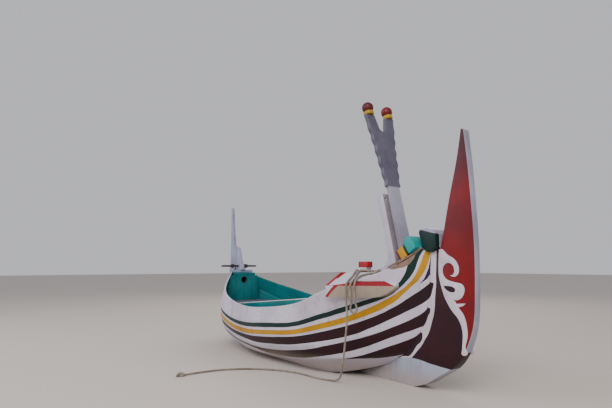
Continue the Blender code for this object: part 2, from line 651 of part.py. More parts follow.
def make_foredeck(hull, raised):
    """Foredeck between the blocks, and the deep beam under its aft edge."""
    starboard = []
    for index in hull.indices(BLOCK_AFT, DECK_FORE):
        x = hull.between(-1, index).x
        lean = BLOCK_END_LEAN if not starboard else 0.0
        starboard.append((x + lean, hull.block_y(x) - BLOCK_SLOPE_WIDE - GAP))
    plan = [(x, -y) for x, y in starboard] + [(x, y) for x, y in reversed(starboard)]
    rings = [[(x, y, z) for x, y in plan] for z in (DECK_TOP - DECK_THICK, DECK_TOP)]
    deck = loft("foredeck", rings, "white_paint")
    boolean(deck, raised, "INTERSECT")
    aft = starboard[0][0]
    top = DECK_TOP - DECK_THICK - GAP
    half = hull.block_y(aft + BEAM_WIDE) - BLOCK_SLOPE_WIDE - 2 * GAP
    beam = box("deck_beam_fore", (aft, aft + BEAM_WIDE), (-half, half), (top - DECK_BEAM_DEEP, top), "white_paint")
    boolean(beam, raised, "INTERSECT")


def make_cleats():
    """A short post with a wider head on the deck beside each block."""
    foot = DECK_TOP + GAP
    top = foot + CLEAT_HIGH
    under = top - CLEAT_HEAD_HIGH
    neck, head = CLEAT_LONG / 2 - CLEAT_NECK, CLEAT_LONG / 2
    outline = (
        (-neck, foot), (neck, foot), (neck, under), (head, under), (head, top), (-head, top), (-head, under),
        (-neck, under),
    )
    for side_name, side in SIDES:
        low, high = sorted((side * (CLEAT_Y - CLEAT_WIDE / 2), side * (CLEAT_Y + CLEAT_WIDE / 2)))
        prism(f"cleat_{side_name}", [(CLEAT_X + x, h) for x, h in outline], low, high, "red_paint")


def rail_slope(hull):
    """Angle of the rail over the bow beams' stretch."""
    head = hull.head(-1)
    return math.atan2(head.z - hull.sheer_z(head.x - RAIL_RUN), RAIL_RUN)


def on_rail(hull, outline):
    """(s, h) along and above the rail, turned into (x, z)."""
    angle = rail_slope(hull)
    head = hull.head(-1)
    cos, sin = math.cos(angle), math.sin(angle)
    return [(head.x + s * cos - h * sin, head.z + s * sin + h * cos) for s, h in outline]


def rail(hull, name, side, spare=0.0, finish=None):
    """The rail on one sheer near the bow; with spare, a guide that clears it on every side."""
    fore = on_rail(hull, [(RAIL_FORE_S, 0.0)])[0][0]
    rings = []
    for index in hull.indices(fore - RAIL_LONG, fore + spare):
        outer, inner = hull.between(-1, index), hull.between(-1, index, PLANK)
        out = Vector((outer.x - inner.x, outer.y - inner.y, 0)).normalized() * (RAIL_OVER + spare)
        low = Vector((0, 0, RAIL_SEAT - (RAIL_THICK if spare else 0)))
        high = Vector((0, 0, RAIL_SEAT + RAIL_THICK + (GAP if spare else 0)))
        ring = (outer + out + low, outer + out + high, inner - out + high, inner - out + low)
        rings.append([(p.x, side * p.y, p.z) for p in ring])
    return loft(name, rings, finish)


def make_rails(hull):
    """A bare rail on each sheer, stopping short of the cap, and the guides that notch the beams."""
    guides = []
    for side_name, side in SIDES:
        rail(hull, f"rail_{side_name}", side, finish="bare_wood")
        guides.append(rail(hull, f"guide_rail_{side_name}", side, RAIL_SPARE))
    return guides


def make_bow_beams(hull, envelope, rails):
    """Yellow and turquoise beams notched over the rails, and the cap that straddles the stem's head."""
    for name, outline, finish in (
        ("bow_beam_yellow", YELLOW_BEAM, "yellow_paint"),
        ("bow_beam_turquoise", TURQUOISE_BEAM, "turquoise_paint"),
    ):
        lifted = [(s, h + RAIL_THICK - BEAM_NOTCH) for s, h in outline]
        beam = prism(name, on_rail(hull, lifted), -BOW_BEAM_HALF, BOW_BEAM_HALF, finish)
        for guide in (*rails, envelope):
            boolean(beam, guide, "DIFFERENCE")
    cap = prism("bow_cap", on_rail(hull, CAP_BEAM), -CAP_HALF, CAP_HALF, "green_paint")
    boolean(cap, envelope, "DIFFERENCE")
    head = hull.head(-1)
    half = STEM_THICK / 2 + GAP * 2
    rabbet_x = hull.points[-2][-1].x
    clear = box("guide_stem_head", (rabbet_x, head.x + CAP_HALF), (-half, half), (0, head.z + CAP_OVER_STEM))
    boolean(cap, clear, "DIFFERENCE")


def make_short_post():
    """The raked post on the foredeck, with its knee and a hole near the top."""
    z = DECK_TOP + GAP
    outline = [(SHORT_POST_X + x, z + h) for x, h in SHORT_POST]
    post = prism("short_post", outline, -SHORT_POST_WIDE / 2, SHORT_POST_WIDE / 2, "white_paint")
    centre = Vector((SHORT_POST_X + POST_HOLE_AT[0], POST_HOLE_Y, z + POST_HOLE_AT[1]))
    boolean(post, cylinder("guide_post_hole", POST_HOLE_RADIUS, 4 * CUT_SPARE, centre, "X"), "DIFFERENCE")


def fork_point(y, s, forward):
    """A point of the fork: y across, s up its face from the deck, forward of its middle plane."""
    cos, sin = math.cos(FORK_LEAN), math.sin(FORK_LEAN)
    return (FORK_FOOT_X - s * sin + forward * cos, y, DECK_TOP + GAP + s * cos + forward * sin)


def arc(centre, radius, start, end, steps):
    """Points of an arc, angles in degrees."""
    turns = [math.radians(start + (end - start) * i / steps) for i in range(steps + 1)]
    return [(centre[0] + radius * math.cos(a), centre[1] + radius * math.sin(a)) for a in turns]


def make_fork():
    """The forked board with its collars and balls."""
    foot = FORK_THICK / 2 * math.tan(FORK_LEAN)
    tip = FORK_THROAT + FORK_PRONG_LONG
    edge = [(FORK_NECK_HALF, foot)] + [(half, FORK_THROAT + above) for half, above in FORK_EDGE]
    prong = [(FORK_PRONG_OUT + FORK_PRONG_HALF, tip), (FORK_PRONG_OUT - FORK_PRONG_HALF, tip)]
    notch = arc((0, FORK_THROAT + FORK_THROAT_HALF), FORK_THROAT_HALF, 0, -180, 8)
    right = edge + prong
    outline = right + notch + [(-y, s) for y, s in reversed(right)]
    rings = [[fork_point(y, s, forward) for y, s in outline] for forward in (-FORK_THICK / 2, FORK_THICK / 2)]
    loft("forked_board", rings, "white_paint")
    up = Vector(fork_point(0, 1, 0)) - Vector(fork_point(0, 0, 0))
    for side_name, side in SIDES:
        base = Vector(fork_point(side * FORK_PRONG_OUT, tip + GAP, 0))
        turn = Vector((0, 0, 1)).rotation_difference(up).to_matrix()
        rings = []
        for height in (0.0, COLLAR_HIGH):
            ring = [turn @ Vector((COLLAR_RADIUS * math.cos(a), COLLAR_RADIUS * math.sin(a), height))
                    for a in (2 * math.pi * i / 16 for i in range(16))]
            rings.append([tuple(base + p) for p in ring])
        loft(f"fork_collar_{side_name}", rings, "yellow_paint")
        bm = bmesh.new()
        bmesh.ops.create_uvsphere(bm, u_segments=16, v_segments=10, radius=BALL_RADIUS)
        flat = -BALL_RADIUS * BALL_SEAT
        for vert in bm.verts:
            vert.co.z = max(vert.co.z, flat)
        bmesh.ops.dissolve_degenerate(bm, dist=1e-6, edges=bm.edges)
        bmesh.ops.transform(bm, matrix=turn.to_4x4(), verts=bm.verts)
        bmesh.ops.translate(bm, vec=base + up * (COLLAR_HIGH + GAP - flat), verts=bm.verts)
        add_object(f"fork_ball_{side_name}", bm, "red_paint")


def smooth_route(route, split, counts):
    """Points of the fair curve through the route's own points, counts[0] of them up to point split."""
    points = [Vector(p) for p in route]
    knots = [0.0]
    for one, two in zip(points, points[1:]):
        knots.append(knots[-1] + (two - one).length)
    curves = [natural_spline(knots, [p[axis] for p in points]) for axis in range(3)]
    fine = [Vector([curve(knots[-1] * i / 2000) for curve in curves]) for i in range(2001)]
    part_way = knots[split] / knots[-1] * 2000
    along = [0.0]
    for one, two in zip(fine, fine[1:]):
        along.append(along[-1] + (two - one).length)
    turn = float(np.interp(part_way, range(2001), along))
    wanted = [*np.linspace(0, turn, counts[0]), *np.linspace(turn, along[-1], counts[1] + 1)[1:]]
    return [tuple(float(np.interp(w, along, [p[axis] for p in fine])) for axis in range(3)) for w in wanted]


def make_rope(hull):
    """The rope hitched round the starboard block, its tail hanging to the sand and lying along it."""
    hitch = hitch_route(hull)
    points = smooth_route(hitch + list(TAIL_ROUTE), len(hitch) - 1, ROPE_POINTS)
    curve = bpy.data.curves.new("mooring_rope", "CURVE")
    curve.dimensions = "3D"
    curve.bevel_depth = ROPE
    curve.bevel_resolution = 2
    curve.use_fill_caps = True
    spline = curve.splines.new("POLY")
    spline.points.add(len(points) - 1)
    for point, place in zip(spline.points, points):
        point.co = (*place, 1.0)
    made = bpy.data.objects.new("mooring_rope", curve)
    bpy.context.scene.collection.objects.link(made)
    curve.materials.append(material("rope"))


def across_block(hull, x):
    """Marks over the starboard block at x: top of the slope, sheer, edge, face and bottom."""
    clear = ROPE + HITCH_CLEAR
    outer = hull.block_y(x)
    inner = outer - BLOCK_SLOPE_WIDE
    sheer_y, sheer_z = hull.locate(len(SEAMS) - 1, x)
    fall = (DECK_TOP - BLOCK_EDGE_Z) / BLOCK_SLOPE_WIDE
    over_sheer = sheer_y - PLANK / 2
    over_z = max(sheer_z + clear * 2, DECK_TOP - (over_sheer - inner) * fall + clear * 1.7)
    turn = (hull.block_y(x + 0.01) - hull.block_y(x - 0.01)) / 0.02
    out = Vector((-turn, 1)).normalized()
    marks = (
        (inner + BLOCK_SLOPE_WIDE / 10, DECK_TOP + clear * 1.15, 0.0),
        (over_sheer, over_z, 0.0),
        (outer, BLOCK_EDGE_Z + clear * 0.6, clear),
        (outer, (BLOCK_EDGE_Z + BLOCK_BOTTOM) / 2, clear * 1.1),
        (outer, BLOCK_BOTTOM - clear * 0.4, clear * 1.25),
    )
    return [(x + out.x * push, -(y + out.y * push), z) for y, z, push in marks]


def hitch_route(hull):
    """From the knot down over the block, up from the bight, round the cleat and down beside it."""
    first, second, third = (across_block(hull, HITCH_X - lane * HITCH_PITCH) for lane in range(3))
    middle, side_y = (first[-1][0] + second[-1][0]) / 2, first[-1][1]
    bight = [(middle + along, side_y, BLOCK_BOTTOM - below) for along, below in BIGHT]
    deck = DECK_TOP + ROPE + HITCH_CLEAR
    loop = []
    for degrees in CLEAT_LOOP_AT:
        angle = math.radians(degrees)
        loop.append((CLEAT_X + CLEAT_LOOP * math.cos(angle), -CLEAT_Y + CLEAT_LOOP * math.sin(angle), deck))
    return list(HITCH_LEAD) + first[1:] + bight + second[::-1] + loop + third


def main():
    clear_scene()
    hull = Hull()
    clear = PLANK + HULL_CLEAR
    inside = hull.guide("guide_inside", clear, RAISED)
    inner = hull.guide("guide_frames", clear + FRAME_DEEP, 2 * RAISED)
    envelope = hull.guide("guide_envelope", -HULL_CLEAR, 0.0)
    make_strakes(hull)
    make_bottom(hull)
    make_stem(hull)
    make_stern_post(hull)
    make_frames(hull, inside, inner)
    make_coamings()
    make_aft_deck(hull, inside)
    make_floor_boards(hull)
    make_stern_bar(hull)
    make_blocks(hull, envelope)
    make_foredeck(hull, inside)
    make_cleats()
    rails = make_rails(hull)
    make_bow_beams(hull, envelope, rails)
    make_short_post()
    make_fork()
    make_rope(hull)


main()
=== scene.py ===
"""Looks of a double-ended plank boat with a painted hull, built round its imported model.

Metres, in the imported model's frame: +X towards the bow, +Y to port, +Z up, the floor at z = 0.
"""

import functools
import json
import logging
import math
from dataclasses import dataclass, field
from enum import Enum
from typing import Any, Callable, Sequence

import bmesh
import bpy
import numpy as np
from mathutils import Matrix, Vector

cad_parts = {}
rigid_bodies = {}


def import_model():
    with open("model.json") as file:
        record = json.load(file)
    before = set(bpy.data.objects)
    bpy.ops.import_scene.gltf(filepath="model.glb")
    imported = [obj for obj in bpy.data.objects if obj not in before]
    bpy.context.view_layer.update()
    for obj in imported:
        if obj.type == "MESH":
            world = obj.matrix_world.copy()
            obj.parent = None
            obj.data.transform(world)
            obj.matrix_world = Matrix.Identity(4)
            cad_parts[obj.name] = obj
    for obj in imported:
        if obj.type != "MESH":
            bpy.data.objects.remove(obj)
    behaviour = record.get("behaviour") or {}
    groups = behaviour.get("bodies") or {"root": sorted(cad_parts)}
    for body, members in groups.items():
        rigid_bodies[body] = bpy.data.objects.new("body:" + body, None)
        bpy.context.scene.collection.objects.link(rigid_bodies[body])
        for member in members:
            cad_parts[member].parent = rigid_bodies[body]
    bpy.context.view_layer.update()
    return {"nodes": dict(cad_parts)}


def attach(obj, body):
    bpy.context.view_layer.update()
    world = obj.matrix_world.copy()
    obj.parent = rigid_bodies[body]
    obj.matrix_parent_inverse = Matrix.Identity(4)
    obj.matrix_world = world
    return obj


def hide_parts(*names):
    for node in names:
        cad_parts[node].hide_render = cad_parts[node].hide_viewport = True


for startup in list(bpy.data.objects):
    bpy.data.objects.remove(startup, do_unlink=True)
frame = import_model()
LOG = logging.getLogger("boat")

Colour = tuple[float, float, float]
Pair = tuple[float, float]
Triple = tuple[float, float, float]


class Side(Enum):
    """The two sides of the boat, by the sign of Y."""

    STARBOARD = -1
    PORT = 1

    @property
    def word(self) -> str:
        """The side's word in a node's name."""
        return self.name.lower()


class Blend(Enum):
    """How one colour is laid over another."""

    OVER = "MIX"
    STAIN = "MULTIPLY"


@dataclass(frozen=True)
class Stain:
    """A darkening where a noise rises from low to high: how much of it shows at most, and its colour."""

    low: float
    high: float
    share: float
    colour: Colour


# Shaders


class Sock:
    """An output of a node; arithmetic on it adds Math nodes."""

    def __init__(self, shader: "Shader", socket: bpy.types.NodeSocket) -> None:
        """Keeps the socket with its shader."""
        self.shader = shader
        self.socket = socket

    def maths(self, operation: str, *values: "Sock | float") -> "Sock":
        """Adds a Math node.

        Args:
            operation: the node's operation.
            values: its inputs in order.

        Returns:
            The node's output.
        """
        return self.shader.node("ShaderNodeMath", {"operation": operation}, dict(enumerate(values)))

    def __add__(self, other: "Sock | float") -> "Sock":
        """Sum."""
        return self.maths("ADD", self, other)

    __radd__ = __add__

    def __sub__(self, other: "Sock | float") -> "Sock":
        """Difference."""
        return self.maths("SUBTRACT", self, other)

    def __rsub__(self, other: float) -> "Sock":
        """Difference from a number."""
        return self.maths("SUBTRACT", other, self)

    def __mul__(self, other: "Sock | float") -> "Sock":
        """Product."""
        return self.maths("MULTIPLY", self, other)

    __rmul__ = __mul__

    def __truediv__(self, other: "Sock | float") -> "Sock":
        """Quotient."""
        return self.maths("DIVIDE", self, other)

    def __rtruediv__(self, other: float) -> "Sock":
        """A number's quotient."""
        return self.maths("DIVIDE", other, self)

    def __abs__(self) -> "Sock":
        """Size without sign."""
        return self.maths("ABSOLUTE", self)


class Shader:
    """The node tree of one material."""

    def __init__(self, name: str) -> None:
        """Makes the material with its one Principled surface."""
        self.material = bpy.data.materials.new(name)
        self.material.use_nodes = True
        self.tree = self.material.node_tree
        self.surface = self.tree.nodes["Principled BSDF"]
        self.coords = self.node("ShaderNodeTexCoord", out="Object")

    def plug(self, socket: bpy.types.NodeSocket, value: Any) -> None:
        """Links a Sock to the socket, or sets the socket's own value."""
        if isinstance(value, Sock):
            self.tree.links.new(value.socket, socket)
        elif socket.type == "RGBA":
            socket.default_value = (*value[:3], 1.0)
        else:
            socket.default_value = value

    def node(
        self,
        kind: str,
        settings: dict[str, Any] | None = None,
        inputs: dict[int | str, Any] | None = None,
        out: int | str = 0,
    ) -> Sock:
        """Adds any node.

        Args:
            kind: the node's type.
            settings: its properties; "points" are those of a curve.
            inputs: a value or a Sock for each named or numbered input.
            out: the output that is wanted.

        Returns:
            That output.
        """
        made = self.tree.nodes.new(kind)
        for name, value in (settings or {}).items():
            if name == "points":
                line = made.mapping.curves[0]
                for number, place in enumerate(value):
                    if number < 2:
                        line.points[number].location = place
                    else:
                        line.points.new(*place)
                made.mapping.update()
            else:
                setattr(made, name, value)
        for key, value in (inputs or {}).items():
            self.plug(made.inputs[key], value)
        return Sock(self, made.outputs[out])

    def axes(self) -> tuple[Sock, Sock, Sock]:
        """The object's x, y and z."""
        x = self.node("ShaderNodeSeparateXYZ", None, {0: self.coords})
        outputs = x.socket.node.outputs
        return x, Sock(self, outputs[1]), Sock(self, outputs[2])

    def along(self, direction: Triple) -> Sock:
        """How far a point lies along a direction from the origin."""
        return self.node("ShaderNodeVectorMath", {"operation": "DOT_PRODUCT"}, {0: self.coords, 1: direction}, 1)

    def attribute(self, name: str) -> Sock:
        """A number that the mesh carries."""
        return self.node("ShaderNodeAttribute", {"attribute_name": name}, None, "Fac")

    def worn(self) -> Sock:
        """Where the sun has faded the paint, 0 to 1."""
        return self.smooth(self.noise(2.3, 5.0), 0.38, 0.68)

    def wobble(self, scale: float, width: float) -> Sock:
        """How far a hand-painted edge strays, within a width."""
        return (self.noise(scale, 2.0) - 0.5) * width

    def noise(self, scale: float, detail: float = 4.0, rough: float = 0.55, stretch: Triple = (1.0, 1.0, 1.0)) -> Sock:
        """Fractal noise from 0 to 1.

        Args:
            scale: features per metre.
            detail: octaves.
            rough: share of each finer octave.
            stretch: how much each axis is squeezed.

        Returns:
            The noise.
        """
        place = self.node("ShaderNodeMapping", None, {"Vector": self.coords, "Scale": stretch})
        inputs = {"Vector": place, "Scale": scale, "Detail": detail, "Roughness": rough}
        return self.node("ShaderNodeTexNoise", None, inputs)

    def smooth(self, value: Sock, low: float, high: float) -> Sock:
        """Rises softly from 0 at low to 1 at high, or falls where low is the greater."""
        inputs = {0: value, 1: low, 2: high, 3: 0.0, 4: 1.0}
        return self.node("ShaderNodeMapRange", {"interpolation_type": "SMOOTHSTEP"}, inputs)

    def mix(self, share: Sock | float, one: Any, two: Any, blend: Blend = Blend.OVER) -> Sock:
        """Lays colour two over colour one by a share."""
        settings = {"data_type": "RGBA", "blend_type": blend.value}
        return self.node("ShaderNodeMix", settings, {0: share, 6: one, 7: two}, 2)

    def darken(self, tone: Sock, noise: Sock, stain: Stain) -> Sock:
        """The tone with a stain over it where the noise is high."""
        return self.mix(self.smooth(noise, stain.low, stain.high) * stain.share, tone, stain.colour, Blend.STAIN)

    def show(self, tone: Sock, rough: Sock, height: Sock, bump: Pair) -> bpy.types.Material:
        """Gives the surface its colour, roughness and bump.

        Args:
            tone: the colour.
            rough: the roughness.
            height: what the bump follows.
            bump: the bump's strength, and its depth.

        Returns:
            The material.
        """
        self.plug(self.surface.inputs["Base Color"], tone)
        self.plug(self.surface.inputs["Roughness"], rough)
        inputs = {"Strength": bump[0], "Distance": bump[1], "Height": height}
        self.plug(self.surface.inputs["Normal"], self.node("ShaderNodeBump", None, inputs))
        return self.material

    def curve(self, value: Sock, points: Sequence[Pair]) -> Sock:
        """A fair curve through given points.

        Args:
            value: what the curve is read at.
            points: pairs of value and result, in rising order of value.

        Returns:
            The result at value.
        """
        low, high = points[0][0], points[-1][0]
        least, most = min(b for _, b in points), max(b for _, b in points)
        shares = [((a - low) / (high - low), (b - least) / (most - least)) for a, b in points]
        ordered = [shares[0], shares[-1], *shares[1:-1]]
        share = (value - low) / (high - low)
        found = self.node("ShaderNodeFloatCurve", {"points": ordered}, {"Value": share})
        return found * (most - least) + least


# Finishes


WHITE: Colour = (0.60, 0.56, 0.66)
WHITE_FADED: Colour = (0.50, 0.46, 0.55)
MAROON: Colour = (0.024, 0.003, 0.008)
MAROON_FADED: Colour = (0.013, 0.004, 0.007)
PURPLE: Colour = (0.022, 0.005, 0.032)
GREEN: Colour = (0.001, 0.022, 0.019)
GREEN_FADED: Colour = (0.003, 0.015, 0.014)
YELLOW: Colour = (0.50, 0.255, 0.003)
YELLOW_FADED: Colour = (0.40, 0.19, 0.004)
RED: Colour = (0.175, 0.001, 0.003)
RED_FADED: Colour = (0.115, 0.001, 0.004)
TEAL: Colour = (0.0, 0.185, 0.195)
TEAL_FADED: Colour = (0.0, 0.12, 0.135)
GREY_BLUE: Colour = (0.30, 0.32, 0.44)
GREY_BLUE_FADED: Colour = (0.22, 0.22, 0.31)
COAMING_EDGE: Colour = (0.66, 0.60, 0.60)
COAMING_EDGE_FADED: Colour = (0.56, 0.50, 0.50)
BARE: Colour = (0.25, 0.17, 0.12)
BARE_FADED: Colour = (0.15, 0.10, 0.07)
PALE: Colour = (0.36, 0.34, 0.46)
PALE_FADED: Colour = (0.28, 0.26, 0.36)
SAND: Colour = (0.36, 0.28, 0.21)
SOOT: Colour = (0.42, 0.38, 0.36)

STREAKS = Stain(0.45, 0.75, 0.35, (0.66, 0.63, 0.62))
RUNS = Stain(0.52, 0.80, 0.45, SOOT)
SPECKS = Stain(0.58, 0.70, 0.16, (0.6, 0.58, 0.56))
PORES = Stain(0.56, 0.70, 0.6, (0.35, 0.30, 0.27))
DAMP = Stain(0.50, 0.75, 0.4, (0.5, 0.48, 0.48))
HAIRS = Stain(0.40, 0.66, 0.35, (0.55, 0.50, 0.45))
# How dark the joints of boards and the grooves between strands are
GROOVE_SHARE = 0.85

# Brush marks along the boat, across it and up it, and the runs of rain, as how much each axis is squeezed
LENGTHWISE: Triple = (1.6, 22.0, 22.0)
ATHWART: Triple = (22.0, 1.6, 22.0)
UPRIGHT: Triple = (22.0, 22.0, 1.6)
RUNNING: Triple = (19.0, 19.0, 1.5)


@dataclass(frozen=True)
class Paint:
    """Oil paint brushed on planed wood, faded in places, scuffed, chipped and dusted with sand low down."""

    slot: str
    colour: Colour
    faded: Colour
    roughness: float = 0.40
    wear: float = 0.30
    grain: Triple = LENGTHWISE
    under: Colour = (0.22, 0.17, 0.13)
    # Paint chips off where the flaws pass this, less the second number at full wear
    chips_from: Pair = (0.90, 0.16)
    chips_share: float = 0.8
    sand_high: float = 0.16
    sand_share: float = 0.55
    bump: Pair = (0.45, 0.0016)
    joint_colour: Colour = (0.10, 0.09, 0.09)

    def tone(self, shader: Shader) -> Sock:
        """The paint's own colour, before wear."""
        return shader.mix(shader.worn(), self.colour, self.faded)

    def joints(self, shader: Shader) -> Sock | None:
        """The joints in the surface, 0 to 1, where it has any."""
        return None

    def build(self) -> bpy.types.Material:
        """Makes the material.

        Returns:
            The material, with its colour, roughness and bump varying over the surface.
        """
        shader = Shader(self.slot)
        height_above = shader.axes()[2]
        streaks = shader.noise(3.0, 4.0, 0.6, self.grain)
        patches = shader.noise(1.4, 4.0)
        specks = shader.noise(90.0, 3.0)
        runs = shader.noise(1.0, 5.0, 0.6, RUNNING)
        flaws = shader.noise(17.0, 7.0, 0.72) + 0.22 * patches
        edge = self.chips_from[0] - self.chips_from[1] * self.wear
        chips = shader.smooth(flaws, edge, edge + 0.02)
        dusty = shader.smooth(height_above - self.sand_high * patches, self.sand_high, -0.02)
        joints = self.joints(shader)
        tone = self.tone(shader)
        for noise, stain in ((streaks, STREAKS), (runs, RUNS), (specks, SPECKS)):
            tone = shader.darken(tone, noise, stain)
        tone = shader.mix(chips * self.chips_share, tone, self.under)
        tone = shader.mix(dusty * self.sand_share, tone, SAND)
        rough = self.roughness - 0.07 + 0.16 * patches + 0.16 * chips + 0.22 * dusty
        height = 0.55 * streaks + 0.10 * specks - 0.9 * chips + 0.4 * patches
        if joints is not None:
            tone = shader.mix(joints * GROOVE_SHARE, tone, self.joint_colour, Blend.STAIN)
            height = height - 3.0 * joints
        shader.surface.inputs["Specular IOR Level"].default_value = 0.3
        return shader.show(tone, rough, height, self.bump)


@functools.cache
def material_of(finish: Any) -> bpy.types.Material:
    """The finish's material, made once."""
    return finish.build()


@dataclass(frozen=True)
class Area:
    """A painted area on the far side of a plane."""

    normal: Triple
    beyond: float
    colour: Colour
    faded: Colour


@dataclass(frozen=True)
class PartPaint(Paint):
    """Paint with areas of other colours, each cut off by a plane."""

    areas: tuple[Area, ...] = ()
    soft: float = 0.0015

    def tone(self, shader: Shader) -> Sock:
        """The ground colour with each area laid over it."""
        worn = shader.worn()
        wobble = shader.wobble(11.0, 0.006)
        tone = shader.mix(worn, self.colour, self.faded)
        for area in self.areas:
            past = shader.along(area.normal) + wobble
            own = shader.mix(worn, area.colour, area.faded)
            tone = shader.mix(shader.smooth(past, area.beyond, area.beyond + self.soft), tone, own)
        return tone


@dataclass(frozen=True)
class BoardPaint(Paint):
    """Paint over boards laid side by side across the boat, with their joints open."""

    pitch: float = 0.115
    joint_half: Pair = (0.0030, 0.0012)

    def joints(self, shader: Shader) -> Sock:
        """The joints between the boards."""
        across = shader.along((0.0, 1.0, 0.0))
        fold = across.maths("PINGPONG", across, self.pitch / 2)
        return shader.smooth(fold, *self.joint_half)


@dataclass(frozen=True)
class Band:
    """A painted band on the planking, between two curves of girth over station."""

    colour: Colour
    faded: Colour
    top: tuple[Pair, ...]
    bottom: tuple[Pair, ...]


@dataclass(frozen=True)
class BandedPaint(Paint):
    """The hull's ground paint with its bands, which follow the planks' own lines."""

    bands: tuple[Band, ...] = ()
    soft: float = 0.009

    def tone(self, shader: Shader) -> Sock:
        """The ground colour with each band laid over it."""
        worn = shader.worn()
        station = shader.attribute("station")
        girth = shader.attribute("girth") + shader.wobble(7.0, 0.035)
        tone = shader.mix(worn, self.colour, self.faded)
        for band in self.bands:
            over = shader.smooth(girth - shader.curve(station, band.bottom), 0.0, self.soft)
            under = shader.smooth(shader.curve(station, band.top) - girth, 0.0, self.soft)
            tone = shader.mix(over * under, tone, shader.mix(worn, band.colour, band.faded))
        return tone


@dataclass(frozen=True)
class StemPaint(Paint):
    """The stem's sides: red field, white line along the rabbet, dark leaf, band tips and pale forefoot."""

    head_colour: Colour = (0.035, 0.004, 0.012)
    head_rises: Pair = (1.8, 2.4)
    head_share: float = 0.75
    line_colour: Colour = (0.60, 0.56, 0.64)
    line_faded: Colour = (0.52, 0.46, 0.50)
    leaf_colour: Colour = (0.020, 0.003, 0.007)
    leaf_faded: Colour = (0.034, 0.004, 0.010)
    foot_colour: Colour = (0.36, 0.39, 0.50)
    foot_faded: Colour = (0.28, 0.29, 0.37)
    soft: float = 0.003
    # (z, x) of the white line's fore edge, and of the leaf's fore edge
    line_edge: tuple[Pair, ...] = (
        (0.0, 1.38), (0.269, 1.73), (0.361, 1.825), (0.406, 1.870), (0.482, 1.925), (0.544, 1.97), (0.641, 2.010),
        (0.774, 2.05), (0.916, 2.066), (1.015, 2.080), (1.103, 2.083), (1.268, 2.094), (1.40, 2.098), (1.44, 2.02),
        (2.5, 2.02),
    )
    leaf_edge: tuple[Pair, ...] = (
        (0.0, 2.62), (0.385, 2.62), (0.40, 2.335), (0.495, 2.345), (0.568, 2.351), (0.648, 2.338), (0.709, 2.308),
        (0.769, 2.253), (0.823, 2.215), (0.914, 2.165), (1.0, 2.145), (1.144, 2.128), (1.40, 2.134), (1.44, 2.02),
        (2.5, 2.02),
    )
    # (z, x) of the ends of the planks' bands, which run on past the rabbet
    tips: tuple[Pair, ...] = (
        (0.0, 1.3), (0.275, 1.62), (0.284, 1.700), (0.397, 1.806), (0.534, 1.890), (0.548, 1.80), (0.580, 1.80),
        (0.595, 1.895), (0.632, 1.932), (0.70, 1.966), (0.781, 2.000), (0.80, 1.90), (0.845, 1.90), (0.862, 1.97),
        (0.905, 2.012), (0.97, 2.036), (1.027, 2.050), (1.045, 1.92), (2.5, 1.9),
    )
    # (x, z) of the forefoot's upper edge
    foot_edge: tuple[Pair, ...] = (
        (1.20, 0.10), (1.45, 0.20), (1.62, 0.262), (1.768, 0.275), (1.988, 0.256), (2.203, 0.24), (2.26, 0.235),
        (2.60, 0.23),
    )

    def tone(self, shader: Shader) -> Sock:
        """The red field with the painted shapes over it."""
        x, _, z = shader.axes()
        worn = shader.worn()
        wobble = shader.wobble(9.0, 0.006)
        tone = shader.mix(worn, self.colour, self.faded)
        tone = shader.mix(shader.smooth(z, *self.head_rises) * self.head_share, tone, self.head_colour)
        for edge, along, across, colour, faded in (
            (self.leaf_edge, z, x, self.leaf_colour, self.leaf_faded),
            (self.line_edge, z, x, self.line_colour, self.line_faded),
            (self.tips, z, x, MAROON, MAROON_FADED),
            (self.foot_edge, x, z, self.foot_colour, self.foot_faded),
        ):
            within = shader.smooth(shader.curve(along, edge) - across + wobble, 0.0, self.soft)
            tone = shader.mix(within, tone, shader.mix(worn, colour, faded))
        return tone


@dataclass(frozen=True)
class BlockPaint(Paint):
    """The side block: beige face, white slope with a red lens along its edge, and red lines at its aft end."""

    slope_colour: Colour = (0.56, 0.54, 0.66)
    slope_faded: Colour = (0.47, 0.45, 0.55)
    trim_colour: Colour = (0.30, 0.012, 0.02)
    trim_faded: Colour = (0.20, 0.01, 0.015)
    aft: float = 1.17
    foot_height: float = 0.87
    edge_height: float = 0.99
    face_rake: float = 0.83
    slope_rake: float = 0.52
    # The red line on the face, by its distance from the aft edge and its half width, and the one on the slope
    face_line: Pair = (0.006, 0.018)
    slope_line: float = 0.035
    soft: float = 0.001
    # (x, z) of the lens's upper edge on the slope
    lens: tuple[Pair, ...] = (
        (1.17, 0.990), (1.22, 0.993), (1.30, 1.005), (1.38, 1.028), (1.44, 1.052), (1.50, 1.062), (1.56, 1.058),
        (1.64, 1.032), (1.70, 1.006), (1.74, 0.989),
    )

    def tone(self, shader: Shader) -> Sock:
        """The beige ground with the white slope and the red trim over it."""
        x, _, z = shader.axes()
        worn = shader.worn()
        white = shader.mix(worn, self.slope_colour, self.slope_faded)
        red = shader.mix(worn, self.trim_colour, self.trim_faded)
        tone = shader.mix(worn, self.colour, self.faded)
        edge, soft = self.edge_height, self.soft
        tone = shader.mix(shader.smooth(z, edge - 2 * soft, edge), tone, white)
        slant = x - self.aft - (z - self.foot_height) * self.face_rake
        tone = shader.mix(shader.smooth(slant, 2 * soft, 0.0), tone, white)
        face = shader.smooth(z, edge + 2 * soft, edge)
        middle, half = self.face_line
        line = shader.smooth(abs(slant - middle), half + soft, half - soft)
        tone = shader.mix(line * face, tone, red)
        above = shader.smooth(z, edge - 3 * soft, edge - soft)
        lens = shader.smooth(shader.curve(x, self.lens) - z, 0.0, 2 * soft) * above
        slant = x - self.aft - (z - edge) * self.slope_rake
        end = shader.smooth(slant, self.slope_line + soft, self.slope_line - soft) * above
        return shader.mix(lens.maths("MAXIMUM", lens, end), tone, red)


